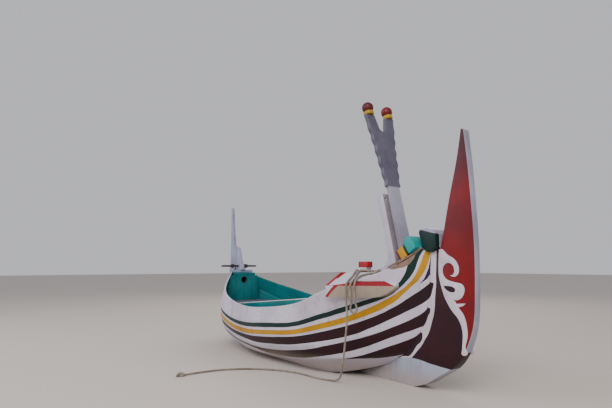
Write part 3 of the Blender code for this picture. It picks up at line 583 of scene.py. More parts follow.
@dataclass(frozen=True)
class BareWood:
    """Weathered unpainted wood with its grain."""

    slot: str
    light: Colour
    dark: Colour
    grain: Triple = (2.2, 34.0, 34.0)
    roughness: float = 0.68
    bump: Pair = (0.6, 0.0015)

    def build(self) -> bpy.types.Material:
        """Makes the material.

        Returns:
            The material, with long grain in its colour and bump.
        """
        shader = Shader(self.slot)
        figure = shader.noise(2.2, 6.0, 0.62, self.grain)
        pores = shader.noise(9.0, 5.0, 0.7, self.grain)
        damp = shader.noise(3.0, 4.0)
        tone = shader.mix(shader.smooth(figure, 0.34, 0.66), self.dark, self.light)
        tone = shader.darken(shader.darken(tone, pores, PORES), damp, DAMP)
        return shader.show(tone, self.roughness - 0.08 + 0.2 * damp, figure - 0.8 * pores, self.bump)


@dataclass(frozen=True)
class Fibre:
    """Laid rope: soft fibres, darker in the grooves between the strands."""

    slot: str
    light: Colour
    dark: Colour
    groove_colour: Colour = (0.20, 0.17, 0.15)
    bump: Pair = (0.7, 0.0008)

    def build(self) -> bpy.types.Material:
        """Makes the material.

        Returns:
            The material; the mesh's "groove" number darkens it between strands.
        """
        shader = Shader(self.slot)
        groove = shader.attribute("groove")
        hairs = shader.noise(420.0, 3.0, 0.6)
        dirt = shader.noise(7.0, 5.0, 0.62)
        tone = shader.mix(shader.smooth(dirt, 0.36, 0.66), self.light, self.dark)
        tone = shader.darken(tone, hairs, HAIRS)
        tone = shader.mix(groove * GROOVE_SHARE, tone, self.groove_colour, Blend.STAIN)
        shader.surface.inputs["Sheen Weight"].default_value = 0.25
        shader.surface.inputs["Sheen Roughness"].default_value = 0.5
        return shader.show(tone, 0.82 + 0.12 * dirt, hairs, self.bump)


# Curves of the bands' edges: (station, girth), a station by its x at the sheer, girth counted in strakes
BANDS = (
    Band(
        GREEN, GREEN_FADED,
        ((-2.33, 4.0), (-1.3, 3.95), (-0.6, 3.92), (0.0, 3.97), (0.45, 4.05), (0.8, 4.08), (1.08, 3.96), (1.25, 3.9),
         (1.45, 3.86), (1.6, 3.88), (1.71, 4.06), (1.81, 4.48), (1.9, 4.99), (2.036, 5.0)),
        ((-2.33, 3.72), (-1.3, 3.64), (-0.6, 3.59), (0.0, 3.58), (0.45, 3.68), (0.8, 3.75), (1.08, 3.65), (1.25, 3.61),
         (1.45, 3.61), (1.62, 3.69), (1.75, 3.93), (1.89, 4.40), (1.96, 4.90), (2.036, 5.0)),
    ),
    Band(
        YELLOW, YELLOW_FADED,
        ((-2.33, 3.56), (-1.3, 3.48), (-0.6, 3.43), (0.0, 3.36), (0.45, 3.44), (0.8, 3.49), (1.08, 3.40), (1.27, 3.36),
         (1.45, 3.43), (1.63, 3.61), (1.77, 3.86), (1.87, 4.12), (1.93, 4.45), (1.99, 4.88), (2.036, 5.0)),
        ((-2.33, 3.16), (-1.3, 3.10), (-0.6, 3.05), (0.0, 2.97), (0.45, 3.02), (0.8, 3.09), (1.06, 3.06), (1.25, 3.04),
         (1.46, 3.10), (1.68, 3.34), (1.80, 3.66), (1.87, 3.88), (1.94, 4.07), (2.0, 4.34), (2.036, 4.75)),
    ),
    Band(
        PURPLE, PURPLE,
        ((-2.33, 3.2), (1.9, 3.86), (1.96, 3.97), (2.0, 4.16), (2.036, 4.62)),
        ((-2.33, 3.2), (1.9, 3.86), (1.96, 3.92), (2.0, 3.99), (2.036, 4.10)),
    ),
    Band(
        MAROON, MAROON_FADED,
        ((-2.33, 3.04), (-1.3, 3.0), (-0.68, 2.95), (0.0, 2.75), (0.44, 2.84), (0.77, 2.90), (1.05, 2.88), (1.24, 2.86),
         (1.46, 2.93), (1.68, 3.15), (1.87, 3.50), (2.0, 3.75), (2.036, 3.84)),
        ((-2.33, 2.38), (-1.3, 2.46), (-0.72, 2.46), (-0.08, 2.06), (0.41, 2.08), (0.75, 2.18), (1.02, 2.18),
         (1.22, 2.21), (1.45, 2.38), (1.68, 2.65), (1.88, 2.97), (2.01, 3.19), (2.036, 3.26)),
    ),
    Band(
        MAROON, MAROON_FADED,
        ((-2.33, 2.0), (-1.3, 2.05), (-0.7, 1.90), (-0.37, 1.66), (0.06, 1.49), (0.48, 1.62), (0.77, 1.74),
         (1.01, 1.87), (1.22, 1.93), (1.45, 2.03), (1.74, 2.31), (1.97, 2.68), (2.036, 2.93)),
        ((-2.33, 1.42), (-1.3, 1.60), (-0.7, 1.62), (-0.41, 1.38), (0.0, 1.0), (0.39, 0.97), (0.65, 1.04), (0.84, 1.16),
         (1.18, 1.36), (1.44, 1.52), (1.87, 1.97), (2.036, 2.18)),
    ),
    Band(
        MAROON, MAROON_FADED,
        ((-2.33, 0.95), (0.8, 0.95), (1.0, 0.96), (1.15, 1.01), (1.42, 1.15), (1.91, 1.56), (2.036, 1.95)),
        ((-2.33, 0.95), (0.8, 0.95), (1.0, 0.95), (1.13, 0.92), (1.40, 0.80), (1.81, 0.68), (2.036, 0.76)),
    ),
    Band(
        BARE, BARE_FADED,
        ((-2.33, 5.30), (2.036, 5.31)),
        ((-2.33, 5.2), (1.60, 5.2), (1.67, 4.99), (1.72, 4.84), (1.77, 4.78), (1.82, 4.73), (1.865, 4.80), (1.91, 5.05),
         (1.95, 5.2), (2.036, 5.2)),
    ),
)

PLANK_PAINT = BandedPaint("white_paint", WHITE, WHITE_FADED, bands=BANDS)
# Teal inside paint, with painted shade: behind the stern bulkhead, where no light comes, it is painted near black
INSIDE_PAINT_AND_SHADE = PartPaint(
    "teal_paint", TEAL, TEAL_FADED, areas=(Area((-1.0, 0.0, 0.0), 2.05, (0.016, 0.018, 0.018), (0.010, 0.011, 0.011)),)
)
WHITE_PAINT = Paint("white_paint", WHITE, WHITE_FADED)
# Painted shade: the edges of the port sheer strake are painted dark teal, not white, as a shadow line along its top
SHADED_EDGE = Paint("teal_paint", (0.010, 0.060, 0.064), (0.020, 0.040, 0.040), wear=0.7)
BOTTOM_PAINT = Paint("blue_grey_paint", (0.34, 0.36, 0.47), (0.26, 0.27, 0.34), wear=0.6)
STEM_PAINT = StemPaint("red_paint", RED, RED_FADED, grain=UPRIGHT)
STRIP_PAINT = Paint("blue_grey_paint", (0.36, 0.37, 0.47), (0.28, 0.28, 0.36), grain=UPRIGHT)
SCROLL_PAINT = Paint("white_paint", (0.58, 0.54, 0.62), (0.50, 0.44, 0.50), wear=0.2)
TEARDROP_PAINT = Paint("maroon_paint", MAROON, MAROON_FADED, wear=0.1)
# Painted highlight: the fore part of the stern post and its fin is painted lighter, as light on its forward edge
STERN_PAINT_AND_HIGHLIGHT = PartPaint(
    "blue_grey_paint", GREY_BLUE, GREY_BLUE_FADED, grain=UPRIGHT,
    areas=(Area((1.0, 0.0, 0.12), -2.085, (0.36, 0.37, 0.48), (0.28, 0.28, 0.38)),),
)
HOOK_PAINT = Paint("blue_grey_paint", (0.30, 0.37, 0.50), (0.22, 0.28, 0.38))
BULKHEAD_PAINT = BoardPaint("teal_paint", TEAL, (0.002, 0.11, 0.12), grain=UPRIGHT, pitch=0.148)
TEAL_PAINT = Paint("teal_paint", TEAL, TEAL_FADED)
FRAME_PAINT = Paint("teal_paint", (0.002, 0.185, 0.20), TEAL_FADED, grain=ATHWART)
DECK_PAINT = BoardPaint("deck_paint", (0.14, 0.13, 0.21), (0.09, 0.09, 0.14), wear=0.7)
FLOOR_PAINT = Paint("deck_paint", (0.17, 0.21, 0.28), (0.12, 0.14, 0.19), wear=0.9)
FOREDECK_PAINT = BoardPaint("white_paint", (0.50, 0.49, 0.61), (0.42, 0.40, 0.50), pitch=0.13)
BLOCK_PAINT = BlockPaint("beige_paint", (0.36, 0.29, 0.23), (0.27, 0.22, 0.18), wear=0.5)
CLEAT_PAINT = PartPaint(
    "red_paint", (0.34, 0.014, 0.02), RED_FADED, grain=UPRIGHT,
    areas=(
        Area((0.0, 0.0, -1.0), -1.176, (0.56, 0.53, 0.60), (0.46, 0.42, 0.48)),
        Area((0.0, 0.0, -1.0), -1.143, RED, RED_FADED),
    ),
)
CAP_TOP = Area((0.25, 0.0, 1.0), 2.035, PALE, PALE_FADED)
CAP_PAINT = PartPaint("green_paint", GREEN, GREEN_FADED, grain=ATHWART, areas=(CAP_TOP,))
POST_PAINT = Paint("white_paint", (0.48, 0.45, 0.55), (0.40, 0.36, 0.44), grain=UPRIGHT)
# Painted shade: the short post's forward face is painted a darker brownish grey, as the shadow on it
POST_SHADED_FACE_PAINT = Paint("white_paint", (0.33, 0.29, 0.31), (0.24, 0.21, 0.23), grain=UPRIGHT, wear=0.7)
COLLAR_PAINT = Paint("yellow_paint", (0.42, 0.27, 0.012), (0.30, 0.18, 0.012))
BALL_PAINT = Paint("red_paint", (0.16, 0.008, 0.014), (0.06, 0.008, 0.012), wear=0.8)
RAIL_WOOD = BareWood("bare_wood", (0.27, 0.185, 0.125), (0.12, 0.08, 0.055))
DARK_WOOD = BareWood("dark_wood", (0.045, 0.032, 0.026), (0.014, 0.011, 0.010), grain=(34.0, 2.2, 34.0))
ROPE_FIBRE = Fibre("rope", (0.33, 0.285, 0.22), (0.19, 0.155, 0.12))
DARK_FIBRE = Fibre("dark_wood", (0.050, 0.042, 0.040), (0.022, 0.018, 0.018))


# Meshes


# Edges sharper than these angles, in degrees: the first is rounded on a mesh, the second stays crisp on a piece
EASED_ANGLE = 28.0
CRISP_ANGLE = 34.0
# Points closer than these are one: in a loft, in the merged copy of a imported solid, and where a plane cuts a board
LOFT_MERGE = 1e-7
PACKED_MERGE = 2e-5
CUT_MERGE = 1e-5
# Facets that turn less than this, in degrees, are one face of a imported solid
FLAT_ANGLE = 0.8
# Points of a fair line before it is spaced evenly
FAIR_SAMPLES = 2001
# A face looks along a direction where its normal's part on it is more than this
FACING = 0.5
# Laid rope: its strands, how deep the grooves are as a share, how round the strands, how narrow the dark grooves
STRANDS = 3
GROOVE_DEEP = 0.24
STRAND_ROUND = 0.6
GROOVE_NARROW = 3


@dataclass(frozen=True)
class Rounding:
    """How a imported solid's edges are rounded: how wide, in how many facets, and from what angle in degrees."""

    width: float
    segments: int = 2
    angle: float = EASED_ANGLE


# For the bulkhead, the floor boards, the side blocks, plain pieces, beams, the coamings, and posts and cleats
SHEET = Rounding(0.002, angle=40.0)
WALKED = Rounding(0.003)
CRISP = Rounding(0.0035, angle=20.0)
SAWN = Rounding(0.004)
HEAVY = Rounding(0.005)
TRIMMED = Rounding(0.005, 3)
SHAPED = Rounding(0.006, 3)


class FairCurve:
    """The natural cubic spline through rows of values."""

    def __init__(self, knots: Sequence[float], values: Sequence[Sequence[float]]) -> None:
        """Solves the spline.

        Args:
            knots: rising measure of each row.
            values: one row for each knot.
        """
        self.knots = np.array(knots, float)
        self.values = np.array(values, float)
        self.step = np.diff(self.knots)
        slope = np.diff(self.values, axis=0) / self.step[:, None]
        size = len(self.knots)
        matrix, right = np.eye(size), np.zeros_like(self.values)
        for i in range(1, size - 1):
            matrix[i, i - 1 : i + 2] = self.step[i - 1], 2 * (self.step[i - 1] + self.step[i]), self.step[i]
            right[i] = 6 * (slope[i] - slope[i - 1])
        self.bend = np.linalg.solve(matrix, right)

    def __call__(self, at: np.ndarray) -> np.ndarray:
        """The curve's rows at these measures."""
        i = np.clip(np.searchsorted(self.knots, at) - 1, 0, len(self.knots) - 2)
        a, b, h = (self.knots[i + 1] - at)[:, None], (at - self.knots[i])[:, None], self.step[i][:, None]
        low, high = self.bend[i], self.bend[i + 1]
        straight = (self.values[i] / h - low * h / 6) * a + (self.values[i + 1] / h - high * h / 6) * b
        return straight + (low * a**3 + high * b**3) / (6 * h)


def fair(points: Sequence[Sequence[float]], step: float) -> np.ndarray:
    """A smooth line through given points.

    Args:
        points: the points, of two or three coordinates.
        step: the most between two points of the result.

    Returns:
        The line's points, evenly spaced.
    """
    rows = np.array(points, float)
    knots = np.concatenate([[0.0], np.cumsum(np.linalg.norm(np.diff(rows, axis=0), axis=1))])
    fine = FairCurve(knots, rows)(np.linspace(0, knots[-1], FAIR_SAMPLES))
    along = np.concatenate([[0.0], np.cumsum(np.linalg.norm(np.diff(fine, axis=0), axis=1))])
    wanted = np.linspace(0, along[-1], max(2, math.ceil(along[-1] / step) + 1))
    return np.stack([np.interp(wanted, along, fine[:, axis]) for axis in range(rows.shape[1])], axis=1)


def face_out(bm: bmesh.types.BMesh) -> None:
    """Turns every face of a closed mesh outwards."""
    bmesh.ops.recalc_face_normals(bm, faces=bm.faces)
    if bm.calc_volume(signed=True) < 0:
        bmesh.ops.reverse_faces(bm, faces=bm.faces)


def skin(rings: np.ndarray, marks: dict[str, np.ndarray] | None = None) -> bmesh.types.BMesh:
    """A closed solid through rings of as many points each.

    Args:
        rings: points, by ring, then round the ring, then x, y and z.
        marks: numbers that each point carries, by name.

    Returns:
        The solid, with its faces out.
    """
    rows, across = rings.shape[:2]
    bm = bmesh.new()
    layers = {name: bm.verts.layers.float.new(name) for name in marks or {}}
    bmesh.ops.create_grid(bm, x_segments=rows - 1, y_segments=across, size=1.0)
    for vert in bm.verts:
        i = round((vert.co.x + 1) / 2 * (rows - 1))
        j = round((vert.co.y + 1) / 2 * across) % across
        vert.co = rings[i, j]
        for name, layer in layers.items():
            vert[layer] = marks[name][i, j]
    bmesh.ops.remove_doubles(bm, verts=bm.verts, dist=LOFT_MERGE)
    bmesh.ops.holes_fill(bm, edges=[edge for edge in bm.edges if edge.is_boundary], sides=0)
    face_out(bm)
    return bm


def round_edges(bm: bmesh.types.BMesh, width: float, segments: int, angle: float = EASED_ANGLE) -> None:
    """Rounds every edge sharper than an angle in degrees."""
    limit = math.radians(angle)
    bm.normal_update()
    sharp = [edge for edge in bm.edges if len(edge.link_faces) == 2 and edge.calc_face_angle(0.0) > limit]
    bmesh.ops.bevel(
        bm, geom=sharp, offset=width, offset_type="OFFSET", segments=segments, profile=0.5, affect="EDGES",
        material=-1, clamp_overlap=True,
    )


def cut_up(bm: bmesh.types.BMesh) -> None:
    """Cuts every face of more than four corners into triangles."""
    bm.normal_update()
    many = [face for face in bm.faces if len(face.verts) > 4]
    bmesh.ops.triangulate(bm, faces=many, quad_method="BEAUTY", ngon_method="BEAUTY")


def board(
    outline: Sequence[Sequence[float]],
    thick: Pair,
    width: float,
    place: Callable[[float, float, float], Sequence[float]],
    cuts: Sequence[tuple[Triple, Triple]] = (),
    segments: int = 2,
) -> bmesh.types.BMesh:
    """A board cut to an outline, with rounded edges.

    Args:
        outline: its corners in its own plane.
        thick: low and high face, square to that plane.
        width: how wide its edges are rounded.
        place: turns two measures in the plane and one through the thickness into a point.
        cuts: planes that split its faces where place bends it, each by a point and a normal.
        segments: facets across a rounded edge.

    Returns:
        The board, with its faces out.
    """
    bm = bmesh.new()
    face = bm.faces.new([bm.verts.new((a, b, thick[0])) for a, b in outline])
    bm.normal_update()
    grown = bmesh.ops.extrude_face_region(bm, geom=[face])
    risen = [item for item in grown["geom"] if isinstance(item, bmesh.types.BMVert)]
    bmesh.ops.translate(bm, verts=risen, vec=(0.0, 0.0, thick[1] - thick[0]))
    face_out(bm)
    if width:
        round_edges(bm, width, segments)
    for point, normal in cuts:
        geometry = [*bm.verts, *bm.edges, *bm.faces]
        bmesh.ops.bisect_plane(bm, geom=geometry, plane_co=point, plane_no=normal, dist=CUT_MERGE)
    cut_up(bm)
    for vert in bm.verts:
        vert.co = place(*vert.co)
    face_out(bm)
    return bm


def eased(node: str, rounding: Rounding) -> bmesh.types.BMesh:
    """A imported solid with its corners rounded.

    Args:
        node: the solid's name.
        rounding: how its edges are rounded.

    Returns:
        A merged copy of the solid.
    """
    bm = bmesh.new()
    bm.from_mesh(frame["nodes"][node].data)
    bmesh.ops.remove_doubles(bm, verts=bm.verts, dist=PACKED_MERGE)
    bmesh.ops.dissolve_limit(bm, angle_limit=math.radians(FLAT_ANGLE), verts=bm.verts, edges=bm.edges)
    round_edges(bm, rounding.width, rounding.segments, rounding.angle)
    cut_up(bm)
    return bm


def tube(path: np.ndarray, radius: float | np.ndarray, sides: int, lay: float = 0.0) -> bmesh.types.BMesh:
    """A round rod or a rope of three strands along a path.

    Args:
        path: the centre line's points.
        radius: half its thickness, one for all or one for each point.
        sides: points round it.
        lay: length of one turn of its strands; nought for a plain rod.

    Returns:
        The tube; its "groove" number is 1 between strands.
    """
    ahead = np.gradient(path, axis=0)
    ahead /= np.linalg.norm(ahead, axis=1)[:, None]
    across = np.empty_like(path)
    start = np.array((0.0, 0.0, 1.0)) if abs(ahead[0, 2]) < 0.9 else np.array((1.0, 0.0, 0.0))
    for i, direction in enumerate(ahead):
        start = start - direction * start.dot(direction)
        start /= np.linalg.norm(start)
        across[i] = start
    other = np.cross(ahead, across)
    along = np.concatenate([[0.0], np.cumsum(np.linalg.norm(np.diff(path, axis=0), axis=1))])
    turn = np.linspace(0, 2 * math.pi, sides, endpoint=False)[None, :]
    size = np.broadcast_to(np.asarray(radius, float), (len(path),))[:, None] * np.ones_like(turn)
    groove = np.zeros((len(path), sides))
    if lay:
        lobe = np.abs(np.cos(STRANDS / 2 * (turn + 2 * math.pi * along[:, None] / lay)))
        size = size * (1 - GROOVE_DEEP + GROOVE_DEEP * lobe**STRAND_ROUND)
        groove = (1 - lobe) ** GROOVE_NARROW
    rings = path[:, None] + size[..., None] * (
        np.cos(turn)[..., None] * across[:, None] + np.sin(turn)[..., None] * other[:, None]
    )
    return skin(rings, {"groove": groove})


def finish_piece(
    bm: bmesh.types.BMesh,
    name: str,
    finishes: Sequence[Any],
    replaces: Sequence[str] = (),
    zone: Callable[[bmesh.types.BMFace], int] | None = None,
    angle: float = CRISP_ANGLE,
) -> bpy.types.Object:
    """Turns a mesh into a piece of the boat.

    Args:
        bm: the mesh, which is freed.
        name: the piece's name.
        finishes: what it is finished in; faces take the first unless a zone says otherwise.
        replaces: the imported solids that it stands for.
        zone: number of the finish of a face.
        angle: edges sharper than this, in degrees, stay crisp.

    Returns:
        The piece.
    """
    if zone:
        bm.normal_update()
        for face in bm.faces:
            face.material_index = zone(face)
    mesh = bpy.data.meshes.new(name)
    bm.to_mesh(mesh)
    bm.free()
    for finish in finishes:
        mesh.materials.append(material_of(finish))
    mesh.shade_smooth()
    mesh.set_sharp_from_angle(angle=math.radians(angle))
    piece = bpy.data.objects.new(name, mesh)
    bpy.context.scene.collection.objects.link(piece)
    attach(piece, "root")
    if replaces:
        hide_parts(*replaces)
    LOG.info("%s: %d faces, for %s", name, len(mesh.polygons), ", ".join(replaces) or "detail")
    return piece


def dress(node: str, name: str, finish: Any, rounding: Rounding = SAWN) -> None:
    """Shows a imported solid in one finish, with its corners rounded.

    Args:
        node: the solid's name.
        name: the piece's name.
        finish: what it is finished in.
        rounding: how its edges are rounded.
    """
    finish_piece(eased(node, rounding), name, (finish,), [node])


# The hull's lines


# The seams of a side, from the rabbet to the sheer
SEAMS = 6
SHEER = SEAMS - 1


@dataclass(frozen=True)
class Section:
    """One section of the hull: its place at the sheer, its lean to the rabbet, and its six seams."""

    x: float
    lean: float
    breadths: tuple[float, ...]
    heights: tuple[float, ...]


@dataclass
class HullLines:
    """The hull's seams as fair curves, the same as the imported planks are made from."""

    stern_rake: tuple[float, ...] = (0.38, 0.18, 0.08, 0.03, 0.0, 0.0)
    bow_rake: tuple[float, ...] = (-0.636, -0.336, -0.166, -0.076, -0.03, 0.0)
    sections: tuple[Section, ...] = (
        Section(-2.33, 1.0, (0.04,) * 6, (0.20, 0.42, 0.64, 0.83, 1.00, 1.16)),
        Section(-1.92, 0.6, (0.22, 0.36, 0.42, 0.43, 0.42, 0.36), (0.11, 0.235, 0.39, 0.555, 0.73, 0.967)),
        Section(-1.30, 0.0, (0.34, 0.53, 0.63, 0.69, 0.71, 0.68), (0.025, 0.135, 0.25, 0.385, 0.55, 0.783)),
        Section(-0.60, 0.0, (0.42, 0.65, 0.73, 0.77, 0.785, 0.77), (0.0, 0.10, 0.205, 0.32, 0.478, 0.672)),
        Section(0.10, 0.0, (0.42, 0.65, 0.74, 0.78, 0.79, 0.78), (0.0, 0.125, 0.255, 0.375, 0.513, 0.70)),
        Section(0.65, 0.0, (0.40, 0.60, 0.68, 0.70, 0.71, 0.74), (0.0, 0.16, 0.305, 0.429, 0.563, 0.78)),
        Section(1.25, 0.0, (0.16, 0.38, 0.45, 0.49, 0.55, 0.64), (0.11, 0.235, 0.43, 0.60, 0.79, 0.985)),
        Section(1.68, 0.55, (0.10, 0.20, 0.23, 0.25, 0.28, 0.29), (0.13, 0.29, 0.51, 0.73, 0.95, 1.17)),
        Section(2.036, 1.0, (0.075,) * 6, (0.161, 0.335, 0.55, 0.79, 1.07, 1.42)),
    )
    rocker_from: Pair = (-1.0, 0.70)
    rocker_power: float = 1.6
    spans: int = 22
    nudge: float = 1e-3
    curves: list[FairCurve] = field(init=False)

    def __post_init__(self) -> None:
        """Fits each seam."""
        knots = [section.x for section in self.sections]
        self.curves = []
        for k in range(SEAMS):
            rows = [(self.section_x(one, k), one.breadths[k], one.heights[k]) for one in self.sections]
            self.curves.append(FairCurve(knots, rows))

    def section_x(self, section: Section, k: int) -> float:
        """Where seam k crosses a section."""
        rake = self.stern_rake if section.x < 0 else self.bow_rake
        return section.x + section.lean * rake[k]

    @property
    def ends(self) -> Pair:
        """First and last station."""
        return self.sections[0].x, self.sections[-1].x

    def rocker(self, x: np.ndarray) -> np.ndarray:
        """Height of the flat bottom."""
        rise = np.zeros_like(x)
        for last, start in ((self.sections[0], self.rocker_from[0]), (self.sections[-1], self.rocker_from[1])):
            end = self.section_x(last, 0)
            share = np.clip((x - start) / (end - start), 0, None)
            rise += last.heights[0] * share**self.rocker_power
        return rise

    def seam(self, k: int, t: np.ndarray) -> np.ndarray:
        """Points of seam k at stations t, on the port side."""
        points = self.curves[k](t)
        if k == 0:
            points[:, 2] = self.rocker(points[:, 0])
        return points

    def normal(self, k: int, t: np.ndarray) -> np.ndarray:
        """Outward normals of the plank above seam k; k = -1 is the flat bottom."""
        low, high = (np.clip(t + step, *self.ends) for step in (-self.nudge, self.nudge))
        if k < 0:
            found = -np.cross(self.seam(0, high) - self.seam(0, low), (0.0, 1.0, 0.0))
        else:
            along = self.seam(k, high) - self.seam(k, low) + self.seam(k + 1, high) - self.seam(k + 1, low)
            found = np.cross(self.seam(k + 1, t) - self.seam(k, t), along)
        return found / np.linalg.norm(found, axis=1)[:, None]

    def mitre(self, k: int, t: np.ndarray) -> np.ndarray:
        """The outward step at seam k that moves both its planks by one."""
        above, below = self.normal(min(k, SHEER - 1), t), self.normal(k - 1, t)
        return (above + below) / (1 + np.sum(above * below, axis=1))[:, None]

    def sheer_at(self, x: float) -> Pair:
        """Half-breadth and height of the sheer at x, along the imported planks' facets."""
        line = self.seam(SHEER, np.linspace(*self.ends, self.spans + 1))
        return float(np.interp(x, line[:, 0], line[:, 1])), float(np.interp(x, line[:, 0], line[:, 2]))

    def on_plank(self, k: int, share: np.ndarray, depth: np.ndarray, t: np.ndarray) -> np.ndarray:
        """Points in the plank above seam k.

        Args:
            k: the seam below the plank.
            share: how far up the plank, by station and point.
            depth: how far in from its outer face, by point.
            t: the stations.

        Returns:
            The points, by station and point, on the port side.
        """
        low, high = self.seam(k, t)[:, None], self.seam(k + 1, t)[:, None]
        inward_low, inward_high = self.mitre(k, t)[:, None], self.mitre(k + 1, t)[:, None]
        share = share[..., None]
        inward = inward_low * (1 - share) + inward_high * share
        return low * (1 - share) + high * share - inward * depth[None, :, None]


@dataclass
class Planking:
    """The strakes, the bottom plank and the heads of the nails."""

    lines: HullLines
    thick: float = 0.025
    bottom_thick: float = 0.035
    inset: float = 0.0007
    seam_gap: float = 0.0005
    edge_round: float = 0.003
    stations: int = 150
    outer_points: int = 11
    inner_points: int = 3
    corner_points: int = 4
    bottom_points: int = 9
    # Faces less deep than the first share of the thickness are outside, and deeper than the second, inside
    faces_at: Pair = (0.2, 0.85)
    names: tuple[str, ...] = ("garboard", "lower", "middle", "upper", "wash")
    nail_stations: tuple[float, ...] = (-1.45, -0.90, -0.30, 0.30, 0.85, 1.30)
    nail_shares: Pair = (0.22, 0.78)
    nail_radius: float = 0.0055
    nail_taper: float = 0.7
    nail_sides: int = 12
    nail_high: float = 0.0014
    nail_proud: float = 0.0002

    def profile(self, width: np.ndarray) -> tuple[np.ndarray, np.ndarray]:
        """A strake's cross-section with rounded edges.

        Args:
            width: the strake's width at each station.

        Returns:
            Share of the width by station and point, and depth by point.
        """
        r, thick = self.edge_round, self.thick
        turns = np.radians(np.linspace(0, 90, self.corner_points))
        sines, cosines = r * np.sin(turns), r * np.cos(turns)
        rows = np.linspace(0, 1, self.outer_points + 2)[1:-1]
        inner_rows = np.linspace(1, 0, self.inner_points + 2)[1:-1]
        reach = width[:, None]
        usable = reach - 2 * r
        corner = (len(width), self.corner_points)
        top_out, top_in = reach - r + sines, reach - r + cosines
        low_in, low_out = np.broadcast_to(r - sines, corner), np.broadcast_to(r - cosines, corner)
        across = np.concatenate([r + usable * rows, top_out, top_in, r + usable * inner_rows, low_in, low_out], axis=1)
        depth = np.concatenate([
            np.zeros(self.outer_points), r - cosines, thick - r + sines, np.full(self.inner_points, thick),
            thick - r + cosines, r - sines,
        ])
        trim = self.seam_gap
        return (trim + across * (reach - 2 * trim) / reach) / reach, depth

    def build_strakes(self) -> None:
        """Builds each strake: bands outside, teal inside with painted shade behind the stern bulkhead, and white edges
        but for the port sheer's, painted dark as a shadow line.
        """
        t = np.linspace(*self.lines.ends, self.stations)
        for k, name in enumerate(self.names):
            width = np.linalg.norm(self.lines.seam(k + 1, t) - self.lines.seam(k, t), axis=1)
            share, depth = self.profile(width)
            points = self.lines.on_plank(k, share, depth + self.inset, t)
            marks = {
                "station": np.broadcast_to(t[:, None], share.shape),
                "girth": k + share,
                "depth": np.broadcast_to(depth[None, :], share.shape),
            }
            for side in Side:
                rings = points * np.array((1.0, side.value, 1.0))
                bm = skin(rings, marks)
                layer = bm.verts.layers.float["depth"]

                def zone(face: bmesh.types.BMFace) -> int:
                    """Outside, inside or edge."""
                    deep = sum(vert[layer] for vert in face.verts) / len(face.verts) / self.thick
                    return 0 if deep < self.faces_at[0] else 1 if deep > self.faces_at[1] else 2

                node = f"strake_{name}_{side.word}"
                # Painted shade: the port sheer's edges take the dark edge paint as a shadow line
                edge = SHADED_EDGE if side is Side.PORT and name == "wash" else WHITE_PAINT
                finish_piece(bm, f"plank_{name}_{side.word}", (PLANK_PAINT, INSIDE_PAINT_AND_SHADE, edge), [node], zone)

    def build_bottom(self) -> None:
        """Builds the flat bottom plank, rockered at both ends."""
        t = np.linspace(*self.lines.ends, self.stations)
        low = self.lines.seam(0, t)
        top = low - self.lines.mitre(0, t) * self.bottom_thick
        low, top = low - (0, self.seam_gap, 0), top - (0, self.seam_gap, 0)
        rows = []
        for share in np.linspace(-1, 1, self.bottom_points):
            rows.append(low * (1, share, 1) + (0, 0, self.inset))
        for share in np.linspace(1, -1, self.bottom_points):
            rows.append(top * (1, share, 1))
        finish_piece(
            skin(np.stack(rows, axis=1)), "bottom_board", (BOTTOM_PAINT, INSIDE_PAINT_AND_SHADE), ["bottom_plank"],
            lambda face: 1 if face.normal.z > FACING else 0,
        )

    def build_nails(self) -> None:
        """Builds the painted-over heads of the nails that hold the planks to the frames."""
        heads = bmesh.new()
        station, girth = (heads.verts.layers.float.new(name) for name in ("station", "girth"))
        stations = np.array(self.nail_stations)
        for k in range(len(self.names)):
            for share in self.nail_shares:
                depth = np.array([-self.nail_proud])
                middles = self.lines.on_plank(k, np.full((len(stations), 1), share), depth, stations)[:, 0]
                outs = self.lines.normal(k, stations)
                for t, middle, out in zip(stations, middles, outs):
                    for side in Side:
                        mirror = (1, side.value, 1)
                        turn = Vector(out * mirror).to_track_quat("Z", "Y").to_matrix().to_4x4()
                        made = bmesh.ops.create_cone(
                            heads, cap_ends=True, segments=self.nail_sides, depth=self.nail_high,
                            radius1=self.nail_radius, radius2=self.nail_radius * self.nail_taper,
                            matrix=Matrix.Translation(Vector(middle * mirror)) @ turn,
                        )
                        for vert in made["verts"]:
                            vert[station], vert[girth] = t, k + share
        finish_piece(heads, "plank_nails", (PLANK_PAINT,))

    def build(self) -> None:
        """Builds all the planking."""
        self.build_strakes()
        self.build_bottom()
        self.build_nails()


